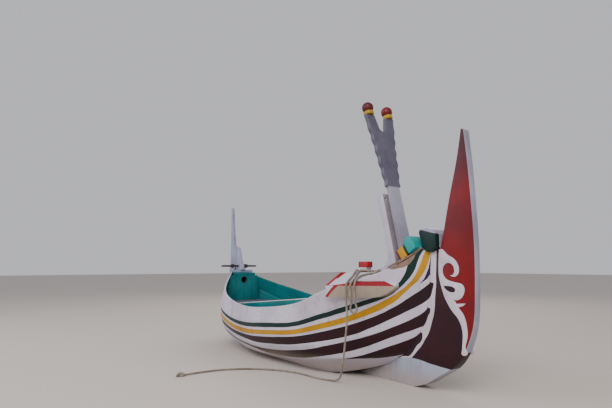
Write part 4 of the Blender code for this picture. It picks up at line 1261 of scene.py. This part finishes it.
@dataclass
class Stem:
    """Bow stem and its tall fin, with the painted sides and the carved scrolls."""

    lines: HullLines
    thick: float = 0.15
    front_thick: float = 0.075
    taper_from: float = 2.116
    front: float = 2.50
    edge_round: float = 0.007
    cutwater: tuple[Pair, ...] = (
        (1.746, 0.0), (1.903, 0.05), (2.026, 0.122), (2.129, 0.185), (2.228, 0.25), (2.298, 0.32), (2.356, 0.403),
        (2.413, 0.518), (2.459, 0.661), (2.486, 0.90), (2.497, 1.15), (2.50, 1.42), (2.488, 1.76), (2.468, 2.14),
        (2.438, 2.48),
    )
    fin_back: tuple[Pair, ...] = (
        (2.412, 2.492), (2.363, 2.24), (2.281, 1.92), (2.218, 1.666), (2.171, 1.46), (2.148, 1.37),
    )
    cutwater_step: float = 0.03
    fin_step: float = 0.05
    # The rabbet under the planks: where it ends, its points, and the least height of a point kept
    rabbet_end: float = 0.6
    rabbet_points: int = 40
    rabbet_low: float = 0.007
    clear: float = 0.0006
    strip_foot: float = 0.41
    strip_facing: float = 0.25
    crisp_angle: float = 30.0
    scroll_proud: float = 0.0035
    scroll_sunk: float = 0.001
    scroll_round: float = 0.0016
    scroll_step: float = 0.008
    # (x, z) of the scroll: its back, the eye's two curves, the lower curl, the thorn, the tail and the way back up
    scroll_head: tuple[tuple[Pair, ...], ...] = (
        ((2.130, 1.350), (2.15, 1.354), (2.182, 1.338), (2.215, 1.302), (2.263, 1.274), (2.312, 1.231), (2.336, 1.165),
         (2.322, 1.112), (2.284, 1.090), (2.240, 1.101)),
        ((2.240, 1.101), (2.276, 1.114), (2.287, 1.149), (2.277, 1.189), (2.249, 1.215), (2.213, 1.219),
         (2.180, 1.198), (2.162, 1.159), (2.164, 1.118), (2.19, 1.075), (2.25, 1.048), (2.32, 1.035)),
        ((2.32, 1.035), (2.366, 1.02), (2.384, 0.985), (2.379, 0.944), (2.354, 0.902), (2.306, 0.876), (2.262, 0.878)),
        ((2.262, 0.878), (2.284, 0.862), (2.294, 0.842)),
    )
    scroll_thorn: tuple[Pair, ...] = ((2.335, 0.846), (2.392, 0.850), (2.362, 0.826), (2.318, 0.812))
    scroll_tail: tuple[tuple[Pair, ...], ...] = (
        ((2.318, 0.804), (2.345, 0.776), (2.379, 0.715), (2.395, 0.636), (2.390, 0.527), (2.378, 0.436),
         (2.392, 0.412), (2.380, 0.392), (2.335, 0.388), (2.328, 0.404)),
        ((2.334, 0.420), (2.343, 0.495), (2.349, 0.568), (2.336, 0.648), (2.306, 0.709), (2.251, 0.769), (2.213, 0.823),
         (2.167, 0.910), (2.143, 0.985), (2.124, 1.06), (2.115, 1.144), (2.120, 1.242), (2.126, 1.32)),
    )
    drop_half: float = 0.001
    drop_round: float = 0.0005
    drop_step: float = 0.006
    drop: tuple[Pair, ...] = (
        (2.168, 1.004), (2.215, 1.004), (2.264, 0.996), (2.290, 0.974), (2.284, 0.953), (2.248, 0.946), (2.205, 0.960),
        (2.175, 0.985),
    )

    def half(self, x: float) -> float:
        """Half the stem's thickness at x."""
        slope = (self.thick - self.front_thick) / 2 / (self.front - self.taper_from)
        return self.thick / 2 - slope * max(0.0, x - self.taper_from)

    def outline(self) -> list[Pair]:
        """The stem's side view, from its heel up the cutwater, over the fin and down the rabbet."""
        edge = [tuple(row) for row in fair(self.cutwater, self.cutwater_step)]
        edge[0] = (edge[0][0], 0.0)
        edge += [tuple(row) for row in fair(self.fin_back, self.fin_step)]
        last = np.array([self.lines.ends[1]])
        for k in range(SHEER, 0, -1):
            x, _, z = self.lines.seam(k, last)[0]
            edge.append((x + self.clear, z))
        run = self.lines.seam(0, np.linspace(self.lines.ends[1], self.rabbet_end, self.rabbet_points))
        kept = run[run[:, 2] > self.rabbet_low]
        edge.append((run[0, 0] + self.clear, run[0, 2] - self.clear))
        edge += [(x, z - self.clear) for x, _, z in kept[1:]]
        edge.append((float(kept[-1, 0]), 0.0))
        return edge

    def build_stem(self) -> None:
        """Builds the stem, its sides painted and its front edge pale."""
        bm = board(
            self.outline(), (-self.thick / 2, self.thick / 2), self.edge_round,
            lambda x, z, y: (x, y * self.half(x) / (self.thick / 2), z),
            [((self.taper_from, 0.0, 0.0), (1.0, 0.0, 0.0))], 3,
        )

        def zone(face: bmesh.types.BMFace) -> int:
            """The front edge is pale down to the leaf's foot."""
            ahead = face.normal.x > self.strip_facing
            return 1 if ahead and face.calc_center_median().z > self.strip_foot else 0

        finish_piece(bm, "stem_and_fin", (STEM_PAINT, STRIP_PAINT), ["bow_stem_fin"], zone, self.crisp_angle)

    def build_scrolls(self) -> None:
        """Builds the raised white scroll on each side, and the dark drop in its lower curl."""
        head = [fair(line, self.scroll_step)[:-1] for line in self.scroll_head[:-1]]
        head.append(fair(self.scroll_head[-1], self.scroll_step))
        tail = [fair(line, self.scroll_step) for line in self.scroll_tail]
        shape = [*np.concatenate(head), *self.scroll_thorn, *np.concatenate(tail)]
        for side in Side:

            def place(x: float, z: float, out: float) -> Triple:
                """Lays the scroll on the stem's face."""
                return x, side.value * (self.half(x) + out), z

            scroll = board(shape, (-self.scroll_sunk, self.scroll_proud), self.scroll_round, place)
            finish_piece(scroll, f"scroll_{side.word}", (SCROLL_PAINT,))
            lifted = (self.scroll_proud - self.drop_half, self.scroll_proud + self.drop_half)
            drop = board(fair(self.drop, self.drop_step), lifted, self.drop_round, place, (), 1)
            finish_piece(drop, f"scroll_drop_{side.word}", (TEARDROP_PAINT,))

    def build(self) -> None:
        """Builds the stem and its ornament."""
        self.build_stem()
        self.build_scrolls()


@dataclass
class Stern:
    """Stern post with its stepped fin, the breasthook, the bulkhead, and the bar through the fin with its lashings."""

    lines: HullLines
    head: Pair = (-2.33, 1.16)
    bar_at: Pair = (0.12, 0.024)
    bar_half: float = 0.33
    bar_radius: float = 0.016
    bar_points: int = 60
    bar_sides: int = 20
    bar_taper: float = 0.16
    # Where the bar's tip begins, as a share of the arm, and how thick it is there
    bar_tip: Pair = (0.985, 0.8)
    lash_y: float = 0.13
    lash_half: float = 0.028
    lash_turns: int = 12
    lash_points: int = 400
    lash_cord: float = 0.0055
    lash_lay: float = 0.03
    lash_sides: int = 8
    # How far the turns lie from the bar's middle, and how much farther halfway
    lash_reach: Pair = (0.021, 0.009)
    lash_spread: float = 0.82
    hole_z: float = 0.96
    hole_radius: float = 0.045
    rim_clear: float = 0.004
    rim_proud: float = 0.001
    rim_radius: float = 0.006
    rim_points: int = 40
    rim_sides: int = 8
    bulkhead_x: float = -2.02
    batten_x: Pair = (-2.022, -2.088)
    batten_z: Pair = (1.0303, 1.0745)
    batten_clear: float = 0.075
    batten_round: float = 0.004

    def build_post(self) -> None:
        """Builds the post, and the breasthook that ties the planks to it."""
        dress("stern_post", "post_and_fin", STERN_PAINT_AND_HIGHLIGHT, SHAPED)
        dress("breasthook", "stern_hook", HOOK_PAINT, SHAPED)

    def build_bulkhead(self) -> None:
        """Builds the bulkhead, the batten on its top and the dark ring round its hole."""
        dress("stern_bulkhead", "hold_bulkhead", BULKHEAD_PAINT, SHEET)
        fore, aft = self.batten_x
        halves = [self.lines.sheer_at(x)[0] - self.batten_clear for x in (fore, aft)]
        plan = [(fore, -halves[0]), (fore, halves[0]), (aft, halves[1]), (aft, -halves[1])]
        batten = board(plan, self.batten_z, self.batten_round, lambda x, y, z: (x, y, z))
        finish_piece(batten, "bulkhead_batten", (TEAL_PAINT,))
        turns = np.linspace(0, 2 * math.pi, self.rim_points + 1)[:-1]
        reach = self.hole_radius + self.rim_clear
        x = np.full(self.rim_points, self.bulkhead_x + self.rim_proud)
        path = np.stack([x, reach * np.cos(turns), self.hole_z + reach * np.sin(turns)], axis=1)
        rim = tube(np.concatenate([path, path[:1]]), self.rim_radius, self.rim_sides)
        finish_piece(rim, "bulkhead_rim", (DARK_WOOD,))

    def build_bar(self) -> None:
        """Builds the bar, thinner at its tips, and the two layers of turns lashed round each arm."""
        x, z = self.head[0] + self.bar_at[0], self.head[1] + self.bar_at[1]
        along = np.linspace(-self.bar_half, self.bar_half, self.bar_points)
        share = np.abs(along) / self.bar_half
        tip, narrowed = self.bar_tip
        radius = self.bar_radius * (1.0 - self.bar_taper * share**3) * np.where(share > tip, narrowed, 1.0)
        path = np.stack([np.full(self.bar_points, x), along, np.full(self.bar_points, z)], axis=1)
        finish_piece(tube(path, radius, self.bar_sides), "lashed_bar", (DARK_WOOD,), ["stern_bar"])
        for side in Side:
            turns = np.linspace(0, self.lash_turns * 2 * math.pi, self.lash_points)
            sweep = np.linspace(0, 1, self.lash_points)
            layer = np.abs(((sweep * 2) % 2) - 1)
            reach = self.lash_reach[0] + self.lash_reach[1] * np.sin(math.pi * sweep) ** 0.5
            y = side.value * (self.lash_y + self.lash_half * (2 * layer - 1) * self.lash_spread)
            path = np.stack([x + reach * np.cos(turns), y, z + reach * np.sin(turns)], axis=1)
            cord = tube(path, self.lash_cord, self.lash_sides, self.lash_lay)
            finish_piece(cord, f"lashing_turns_{side.word}", (DARK_FIBRE,), [f"bar_lashing_{side.word}"])

    def build(self) -> None:
        """Builds the stern."""
        self.build_post()
        self.build_bulkhead()
        self.build_bar()


@dataclass
class Hold:
    """What stands inside the hull: frames, beams, coamings, decks and floor boards."""

    frames: int = 4
    coaming_top: tuple[Pair, Pair] = ((-1.22, 0.65), (0.65, 0.825))
    coaming_edge: float = 0.010

    def build_framing(self) -> None:
        """Builds the frames and the beams across them."""
        for number in range(1, self.frames + 1):
            dress(f"frame_{number}", f"rib_{number}", FRAME_PAINT)
            dress(f"beam_{number}", f"thwart_{number}", FRAME_PAINT, HEAVY)

    def build_coamings(self) -> None:
        """Builds the coamings, both teal, the starboard one with a pale top edge."""
        (aft_x, aft_z), (fore_x, fore_z) = self.coaming_top
        slope = math.atan2(fore_z - aft_z, fore_x - aft_x)
        up = (-math.sin(slope), 0.0, math.cos(slope))
        top = up[0] * aft_x + up[2] * aft_z
        pale = Area(up, top - self.coaming_edge, COAMING_EDGE, COAMING_EDGE_FADED)
        for side, areas in ((Side.STARBOARD, (pale,)), (Side.PORT, ())):
            finish = PartPaint("teal_paint", TEAL, TEAL_FADED, areas=areas)
            dress(f"coaming_{side.word}", f"hold_board_{side.word}", finish, TRIMMED)

    def build_decks(self) -> None:
        """Builds the aft deck on its beam, and the floor boards."""
        dress("aft_deck", "aft_platform", DECK_PAINT)
        dress("deck_beam_aft", "aft_platform_beam", INSIDE_PAINT_AND_SHADE)
        for side in Side:
            dress(f"floor_board_{side.word}", f"bottom_walk_{side.word}", FLOOR_PAINT, WALKED)

    def build(self) -> None:
        """Builds the hold."""
        self.build_framing()
        self.build_coamings()
        self.build_decks()


@dataclass(frozen=True)
class Beam:
    """A beam across the bow: its section along and above the rail, and the strip painted along its aft edge."""

    word: str
    section: tuple[Pair, ...]
    colour: Colour
    faded: Colour
    strip: float
    strip_colour: Colour
    strip_faded: Colour


@dataclass
class BowGear:
    """Foredeck, side blocks, rails and cleats, and the two beams and the cap across the bow."""

    head: Pair = (2.036, 1.42)
    rail_rise: float = 0.5741
    lift: float = 0.018
    beam_half: float = 0.20
    beam_round: float = 0.007
    cap_half: float = 0.13
    cap_border: float = 0.06
    cap_round: float = 0.016
    # The panel is on the cap's faces that look ahead by more than the first share and aside by less than the second
    panel_facing: Pair = (0.6, 0.4)
    beams: tuple[Beam, ...] = (
        Beam(
            "yellow", ((-0.352, 0.0), (-0.246, 0.0), (-0.246, 0.12), (-0.352, 0.12)), YELLOW, YELLOW_FADED,
            0.026, (0.17, 0.008, 0.014), (0.10, 0.006, 0.01),
        ),
        Beam(
            "turquoise",
            ((-0.232, 0.0), (-0.108, 0.0), (-0.098, 0.075), (-0.115, 0.15), (-0.20, 0.15), (-0.238, 0.09)),
            (0.012, 0.30, 0.29), (0.008, 0.22, 0.22), 0.030, (0.006, 0.035, 0.032), (0.005, 0.025, 0.025),
        ),
    )
    cap: tuple[Pair, ...] = (
        (-0.085, -0.032), (-0.055, -0.085), (-0.010, -0.100), (0.045, -0.100), (0.122, 0.008), (0.118, 0.064),
        (0.075, 0.120), (-0.009, 0.168), (-0.042, 0.148),
    )

    @property
    def rail_angle(self) -> float:
        """The rail's slope, up towards the head."""
        return math.asin(self.rail_rise)

    def on_rail(self, s: float, h: float, y: float) -> Triple:
        """A point s along the rail from the head and h above it."""
        cos, sin = math.cos(self.rail_angle), math.sin(self.rail_angle)
        return self.head[0] + s * cos - h * sin, y, self.head[1] + s * sin + h * cos

    def along_rail(self, s: float) -> tuple[Triple, float]:
        """Direction up the rail, and how far along it the place s lies from the origin."""
        direction = (math.cos(self.rail_angle), 0.0, math.sin(self.rail_angle))
        return direction, direction[0] * self.head[0] + direction[2] * self.head[1] + s

    def build_beams(self) -> None:
        """Builds the yellow and turquoise beams."""
        for beam in self.beams:
            up, edge = self.along_rail(min(s for s, _ in beam.section) + beam.strip)
            strip = Area(tuple(-part for part in up), -edge, beam.strip_colour, beam.strip_faded)
            finish = PartPaint(f"{beam.word}_paint", beam.colour, beam.faded, grain=ATHWART, areas=(strip,))
            lifted = [(s, h + self.lift) for s, h in beam.section]
            bm = board(lifted, (-self.beam_half, self.beam_half), self.beam_round, self.on_rail, (), 3)
            finish_piece(bm, f"beam_{beam.word}", (finish,), [f"bow_beam_{beam.word}"])

    def build_cap(self) -> None:
        """Builds the dark cap, with its pale top and the pale panel on its fore face."""
        inset = self.cap_half - self.cap_border
        borders = tuple(Area((0.0, side.value, 0.0), inset, GREEN, GREEN_FADED) for side in Side)
        panel = PartPaint("green_paint", PALE, PALE_FADED, grain=ATHWART, areas=(*borders, CAP_TOP))
        ahead, aside = self.panel_facing
        finish_piece(
            board(self.cap, (-self.cap_half, self.cap_half), self.cap_round, self.on_rail, (), 4), "head_cap",
            (CAP_PAINT, panel), ["bow_cap"],
            lambda face: 1 if face.normal.x > ahead and abs(face.normal.y) < aside else 0,
        )

    def build_sides(self) -> None:
        """Builds the side blocks, the rails and the cleats."""
        for word in (side.word for side in Side):
            dress(f"side_block_{word}", f"block_{word}", BLOCK_PAINT, CRISP)
            dress(f"rail_{word}", f"bare_rail_{word}", RAIL_WOOD)
            dress(f"cleat_{word}", f"rope_cleat_{word}", CLEAT_PAINT, SHAPED)

    def build_deck(self) -> None:
        """Builds the foredeck and the deep beam under its aft edge."""
        dress("foredeck", "fore_platform", FOREDECK_PAINT)
        dress("deck_beam_fore", "fore_platform_beam", WHITE_PAINT, HEAVY)

    def build(self) -> None:
        """Builds the bow's fittings."""
        self.build_deck()
        self.build_sides()
        self.build_beams()
        self.build_cap()


@dataclass
class Posts:
    """The short raked post, and the forked board with its collars and balls."""

    foot_x: float = 1.678
    deck: float = 1.1253
    lean: float = math.radians(13.36)
    thick: float = 0.05
    edge_round: float = 0.005
    neck_half: float = 0.078
    neck_top: float = 0.94
    grey_from: float = 0.95
    throat: float = 1.635
    throat_half: float = 0.055
    prong_tip: float = 1.827
    prong_out: float = 0.15
    prong_half: float = 0.062
    edge: tuple[Pair, ...] = (
        (0.105, 0.965), (0.098, 1.035), (0.118, 1.095), (0.112, 1.165), (0.136, 1.235), (0.128, 1.305),
        (0.152, 1.375), (0.145, 1.445), (0.171, 1.515), (0.167, 1.575), (0.190, 1.645), (0.194, 1.715), (0.207, 1.80),
    )
    edge_step: float = 0.012
    notch_points: int = 17
    ball_radius: float = 0.067
    ball_rows: int = 28
    ball_seat: float = 0.75
    # A shallow ring round the ball's middle: its depth as a share, and its half width
    ball_ring: Pair = (0.03, 0.006)
    collar_high: float = 0.045
    collar_radius: float = 0.058
    collar_round: float = 0.009
    round_sides: int = 40
    clear: float = 0.0003

    @property
    def up(self) -> Triple:
        """The direction up the forked board."""
        return -math.sin(self.lean), 0.0, math.cos(self.lean)

    def on_fork(self, y: float, s: float, forward: float) -> Triple:
        """A point y across, s up the board from the deck and forward of its middle."""
        cos, sin = math.cos(self.lean), math.sin(self.lean)
        return self.foot_x - s * sin + forward * cos, y, self.deck + s * cos + forward * sin

    def build_fork(self) -> None:
        """Builds the forked board with its wavy, darker edges."""
        foot = self.thick / 2 * math.tan(self.lean)
        wavy = [tuple(row) for row in fair(self.edge, self.edge_step)]
        right = [(self.neck_half, foot), (self.neck_half, self.neck_top), *wavy]
        right += [(self.prong_out + out, self.prong_tip) for out in (self.prong_half, -self.prong_half)]
        turns = np.radians(np.linspace(0, -180, self.notch_points))
        middle = self.throat + self.throat_half
        notch = [(self.throat_half * math.cos(a), middle + self.throat_half * math.sin(a)) for a in turns]
        outline = right + notch + [(-y, s) for y, s in reversed(right)]
        bm = board(outline, (-self.thick / 2, self.thick / 2), self.edge_round, self.on_fork, (), 3)
        ahead = Vector((math.cos(self.lean), 0.0, math.sin(self.lean)))
        base = self.up[0] * self.foot_x + self.up[2] * self.deck
        grey = Area(self.up, base + self.grey_from, (0.11, 0.105, 0.15), (0.075, 0.07, 0.105))
        shades = (((0.34, 0.34, 0.43), (0.27, 0.26, 0.34)), ((0.30, 0.28, 0.36), (0.20, 0.18, 0.24)))
        finishes = [PartPaint("white_paint", *shade, grain=UPRIGHT, areas=(grey,)) for shade in shades]
        finish_piece(
            bm, "carved_fork", finishes, ["forked_board"],
            lambda face: 1 if abs(face.normal.dot(ahead)) < FACING else 0,
        )

    def build_finials(self) -> None:
        """Builds a collar and a ball on each prong."""
        up = Vector(self.up)
        turn = Vector((0.0, 0.0, 1.0)).rotation_difference(up).to_matrix().to_4x4()
        for side in Side:
            base = Vector(self.on_fork(side.value * self.prong_out, self.prong_tip + self.clear, 0.0))
            collar = bmesh.new()
            bmesh.ops.create_cone(
                collar, cap_ends=True, segments=self.round_sides, depth=self.collar_high,
                radius1=self.collar_radius, radius2=self.collar_radius,
                matrix=Matrix.Translation(base + up * self.collar_high / 2) @ turn,
            )
            round_edges(collar, self.collar_round, 4)
            finish_piece(collar, f"collar_{side.word}", (COLLAR_PAINT,), [f"fork_collar_{side.word}"])
            ball = bmesh.new()
            bmesh.ops.create_uvsphere(
                ball, u_segments=self.round_sides, v_segments=self.ball_rows, radius=self.ball_radius
            )
            seat = -self.ball_radius * self.ball_seat
            deep, wide = self.ball_ring
            for vert in ball.verts:
                vert.co.z = max(vert.co.z, seat)
                vert.co.xy = vert.co.xy * (1 - deep * math.exp(-((vert.co.z / wide) ** 2)))
            bmesh.ops.dissolve_degenerate(ball, dist=1e-6, edges=ball.edges)
            lift = base + up * (self.collar_high + self.clear - seat)
            bmesh.ops.transform(ball, matrix=Matrix.Translation(lift) @ turn, verts=ball.verts)
            finish_piece(ball, f"ball_{side.word}", (BALL_PAINT,), [f"fork_ball_{side.word}"])

    def build_post(self) -> None:
        """Builds the short post, its forward face painted darker as painted shade."""
        finish_piece(
            eased("short_post", SHAPED), "raked_post", (POST_PAINT, POST_SHADED_FACE_PAINT), ["short_post"],
            lambda face: 1 if face.normal.x > FACING else 0,
        )

    def build(self) -> None:
        """Builds the posts."""
        self.build_post()
        self.build_fork()
        self.build_finials()


@dataclass
class Mooring:
    """The rope: hitched over the starboard block and the cleat, then down to the floor and along it."""

    lines: HullLines
    radius: float = 0.0105
    lay: float = 0.078
    clear: float = 0.0025
    first_lane: float = 1.43
    pitch: float = 0.034
    block_x: Pair = (1.17, 1.74)
    block_proud: Pair = (0.055, 0.035)
    block_heights: Triple = (0.87, 0.99, 1.125)
    slope_wide: float = 0.15
    sheer_in: float = 0.0125
    # Marks over the block, in multiples of the rope's clearance: how high over the top, the sheer and the edge, how
    # far under the bottom, and how far off the face and the bottom
    over_top: float = 1.15
    over_sheer: Pair = (2.0, 1.7)
    over_edge: float = 0.6
    under_bottom: float = 0.4
    off_face: float = 1.1
    off_bottom: float = 1.25
    nudge: float = 0.01
    cleat: Pair = (1.365, -0.34)
    loop_radius: float = 0.084
    loop_degrees: tuple[float, ...] = (-12, 20, 55, 90, 125, 160, 198)
    lead: tuple[Triple, ...] = ((1.53, -0.345, 1.115), (1.49, -0.38, 1.115), (1.452, -0.43, 1.103))
    bight: tuple[Pair, ...] = (
        (0.028, 0.05), (0.048, 0.105), (0.034, 0.14), (0.0, 0.154), (-0.034, 0.14), (-0.048, 0.105), (-0.028, 0.05),
    )
    tail: tuple[Triple, ...] = (
        (1.41, -0.64, 0.70), (1.40, -0.65, 0.50), (1.37, -0.648, 0.33), (1.315, -0.635, 0.155), (1.255, -0.615, 0.062),
        (1.18, -0.61, 0.0215), (1.08, -0.64, 0.0128), (0.95, -0.675, 0.0125), (0.80, -0.692, 0.0125),
        (0.65, -0.71, 0.0125), (0.42, -0.80, 0.0125), (0.22, -0.954, 0.0125), (0.08, -1.14, 0.0125),
        (0.0, -1.36, 0.0125), (-0.012, -1.63, 0.0125), (0.005, -1.87, 0.0125),
    )
    # Each knot's middle, the direction that its flat faces, and its size
    lead_knot: tuple[Triple, Triple, float] = ((1.538, -0.337, 1.129), (0.0, -0.35, 0.94), 0.0118)
    end_knot: tuple[Triple, Triple, float] = ((0.004, -1.818, 0.0228), (0.0, 0.0, 1.0), 0.0122)
    knot_open: float = 0.12
    knot_points: int = 150
    rope_step: float = 0.0065
    rope_sides: int = 24

    def block_y(self, x: float) -> float:
        """Outer face of the side block."""
        share = (x - self.block_x[0]) / (self.block_x[1] - self.block_x[0])
        return self.lines.sheer_at(x)[0] + self.block_proud[0] + share * (self.block_proud[1] - self.block_proud[0])

    def across_block(self, x: float) -> list[Triple]:
        """Marks over the starboard block: top of the slope, sheer, edge, face and bottom."""
        clear = self.radius + self.clear
        bottom, edge, deck = self.block_heights
        outer = self.block_y(x)
        inner = outer - self.slope_wide
        sheer_y, sheer_z = self.lines.sheer_at(x)
        over_y = sheer_y - self.sheer_in
        fall = (deck - edge) / self.slope_wide
        sheer, slope = self.over_sheer
        over_z = max(sheer_z + clear * sheer, deck - (over_y - inner) * fall + clear * slope)
        turn = (self.block_y(x + self.nudge) - self.block_y(x - self.nudge)) / (2 * self.nudge)
        out = Vector((-turn, 1.0)).normalized()
        marks = (
            (inner + self.slope_wide / 10, deck + clear * self.over_top, 0.0), (over_y, over_z, 0.0),
            (outer, edge + clear * self.over_edge, clear), (outer, (edge + bottom) / 2, clear * self.off_face),
            (outer, bottom - clear * self.under_bottom, clear * self.off_bottom),
        )
        return [(x + out.x * push, -(y + out.y * push), z) for y, z, push in marks]

    def route(self) -> list[Triple]:
        """The rope's own points from its knot to its end."""
        first, second, third = (self.across_block(self.first_lane - lane * self.pitch) for lane in range(3))
        middle, side_y = (first[-1][0] + second[-1][0]) / 2, first[-1][1]
        bight = [(middle + along, side_y, self.block_heights[0] - below) for along, below in self.bight]
        height = self.block_heights[2] + self.radius + self.clear
        loop = []
        for degrees in self.loop_degrees:
            angle = math.radians(degrees)
            x, y = self.cleat
            loop.append((x + self.loop_radius * math.cos(angle), y + self.loop_radius * math.sin(angle), height))
        return [*self.lead, *first[1:], *bight, *second[::-1], *loop, *third, *self.tail]

    def knot(self, name: str, centre: Triple, lean: Triple, size: float) -> bpy.types.Object:
        """A stopper knot in the rope: a trefoil, open where the rope leaves it.

        Args:
            name: the piece's name.
            centre: its middle.
            lean: the direction that its flat faces.
            size: how far its turns spread.

        Returns:
            The knot.
        """
        t = np.linspace(self.knot_open, 2 * math.pi - self.knot_open, self.knot_points)
        flat = np.stack([
            np.sin(t) + 2 * np.sin(2 * t), np.cos(t) - 2 * np.cos(2 * t), -np.sin(3 * t) * 0.98,
        ], axis=1) * size
        turn = np.array(Vector((0.0, 0.0, 1.0)).rotation_difference(Vector(lean)).to_matrix())
        bm = tube(flat @ turn.T + np.array(centre), self.radius, self.rope_sides, self.lay)
        return finish_piece(bm, name, (ROPE_FIBRE,))

    def build(self) -> None:
        path = fair(self.route(), self.rope_step)
        bm = tube(path, self.radius, self.rope_sides, self.lay)
        rope = finish_piece(bm, "laid_rope", (ROPE_FIBRE,), ["mooring_rope"])
        start, end = self.knot("lead_knot", *self.lead_knot), self.knot("end_knot", *self.end_knot)
        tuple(self.lead[0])


@dataclass(frozen=True)
class Lamp:
    """A soft square lamp: where it hangs, its side, its watts and its colour."""

    name: str
    place: Triple
    size: float
    power: float
    colour: Colour


@dataclass
class Studio:
    """Camera at the picture's angle, a pale floor and soft light."""

    eye: Triple = (5.209, -3.802, 1.2)
    heading: float = math.radians(55.0)
    tilt: float = math.radians(7.24)
    focal: float = 480.0
    image_width: float = 612.0
    sensor: float = 36.0
    floor_half: float = 60.0
    floor_tones: tuple[Colour, Colour] = ((0.50, 0.45, 0.40), (0.58, 0.53, 0.48))
    lamps: tuple[Lamp, ...] = (
        Lamp("key", (7.0, -7.0, 7.5), 7.0, 900.0, (1.0, 0.95, 0.90)),
        Lamp("fill", (-4.0, -9.0, 6.0), 7.0, 420.0, (0.86, 0.91, 1.0)),
        Lamp("back", (-7.0, 7.0, 8.0), 8.0, 420.0, (1.0, 0.92, 0.86)),
    )
    lamps_face: Triple = (0.3, 0.0, 0.7)
    surroundings: Colour = (0.80, 0.80, 0.86)
    surroundings_strength: float = 0.75

    def place_camera(self) -> None:
        """Sets the camera up."""
        data = bpy.data.cameras.new("camera")
        data.sensor_width = self.sensor
        data.lens = self.sensor * self.focal / self.image_width
        camera = bpy.data.objects.new("camera", data)
        bpy.context.scene.collection.objects.link(camera)
        level = math.cos(self.tilt)
        ahead = Vector((-math.sin(self.heading) * level, math.cos(self.heading) * level, math.sin(self.tilt)))
        camera.location = self.eye
        camera.rotation_mode = "QUATERNION"
        camera.rotation_quaternion = ahead.to_track_quat("-Z", "Y")
        bpy.context.scene.camera = camera

    def lay_floor(self) -> None:
        """Lays the plain floor."""
        bm = bmesh.new()
        bmesh.ops.create_grid(bm, x_segments=1, y_segments=1, size=self.floor_half)
        mesh = bpy.data.meshes.new("floor")
        bm.to_mesh(mesh)
        bm.free()
        shader = Shader("floor")
        tone = shader.mix(shader.noise(30.0, 5.0, 0.6), *self.floor_tones)
        shader.plug(shader.surface.inputs["Base Color"], tone)
        shader.surface.inputs["Roughness"].default_value = 0.9
        mesh.materials.append(shader.material)
        floor = bpy.data.objects.new("floor", mesh)
        bpy.context.scene.collection.objects.link(floor)

    def hang(self, lamp: Lamp) -> None:
        """Hangs one lamp that faces the boat.

        Args:
            lamp: the lamp to hang.
        """
        data = bpy.data.lights.new(lamp.name, "AREA")
        data.shape = "SQUARE"
        data.size = lamp.size
        data.energy = lamp.power
        data.color = lamp.colour
        hung = bpy.data.objects.new(lamp.name, data)
        bpy.context.scene.collection.objects.link(hung)
        hung.location = lamp.place
        hung.rotation_mode = "QUATERNION"
        hung.rotation_quaternion = (Vector(self.lamps_face) - Vector(lamp.place)).to_track_quat("-Z", "Y")

    def light_up(self) -> None:
        """Hangs the lamps and sets the soft surroundings."""
        for lamp in self.lamps:
            self.hang(lamp)
        world = bpy.data.worlds.new("studio")
        world.use_nodes = True
        background = world.node_tree.nodes["Background"]
        background.inputs["Color"].default_value = (*self.surroundings, 1.0)
        background.inputs["Strength"].default_value = self.surroundings_strength
        bpy.context.scene.world = world

    def build(self) -> None:
        """Sets up the studio."""
        self.place_camera()
        self.lay_floor()
        self.light_up()


def main() -> None:
    """Builds the scene: camera and rope first, then the boat from the planks up."""
    logging.basicConfig(level=logging.INFO, format="%(message)s")
    lines = HullLines()
    for part in (Studio(), Mooring(lines), Planking(lines), Stem(lines), Stern(lines), Hold(), BowGear(), Posts()):
        LOG.info("building %s", type(part).__name__)
        part.build()


if __name__ == "__main__":
    main()
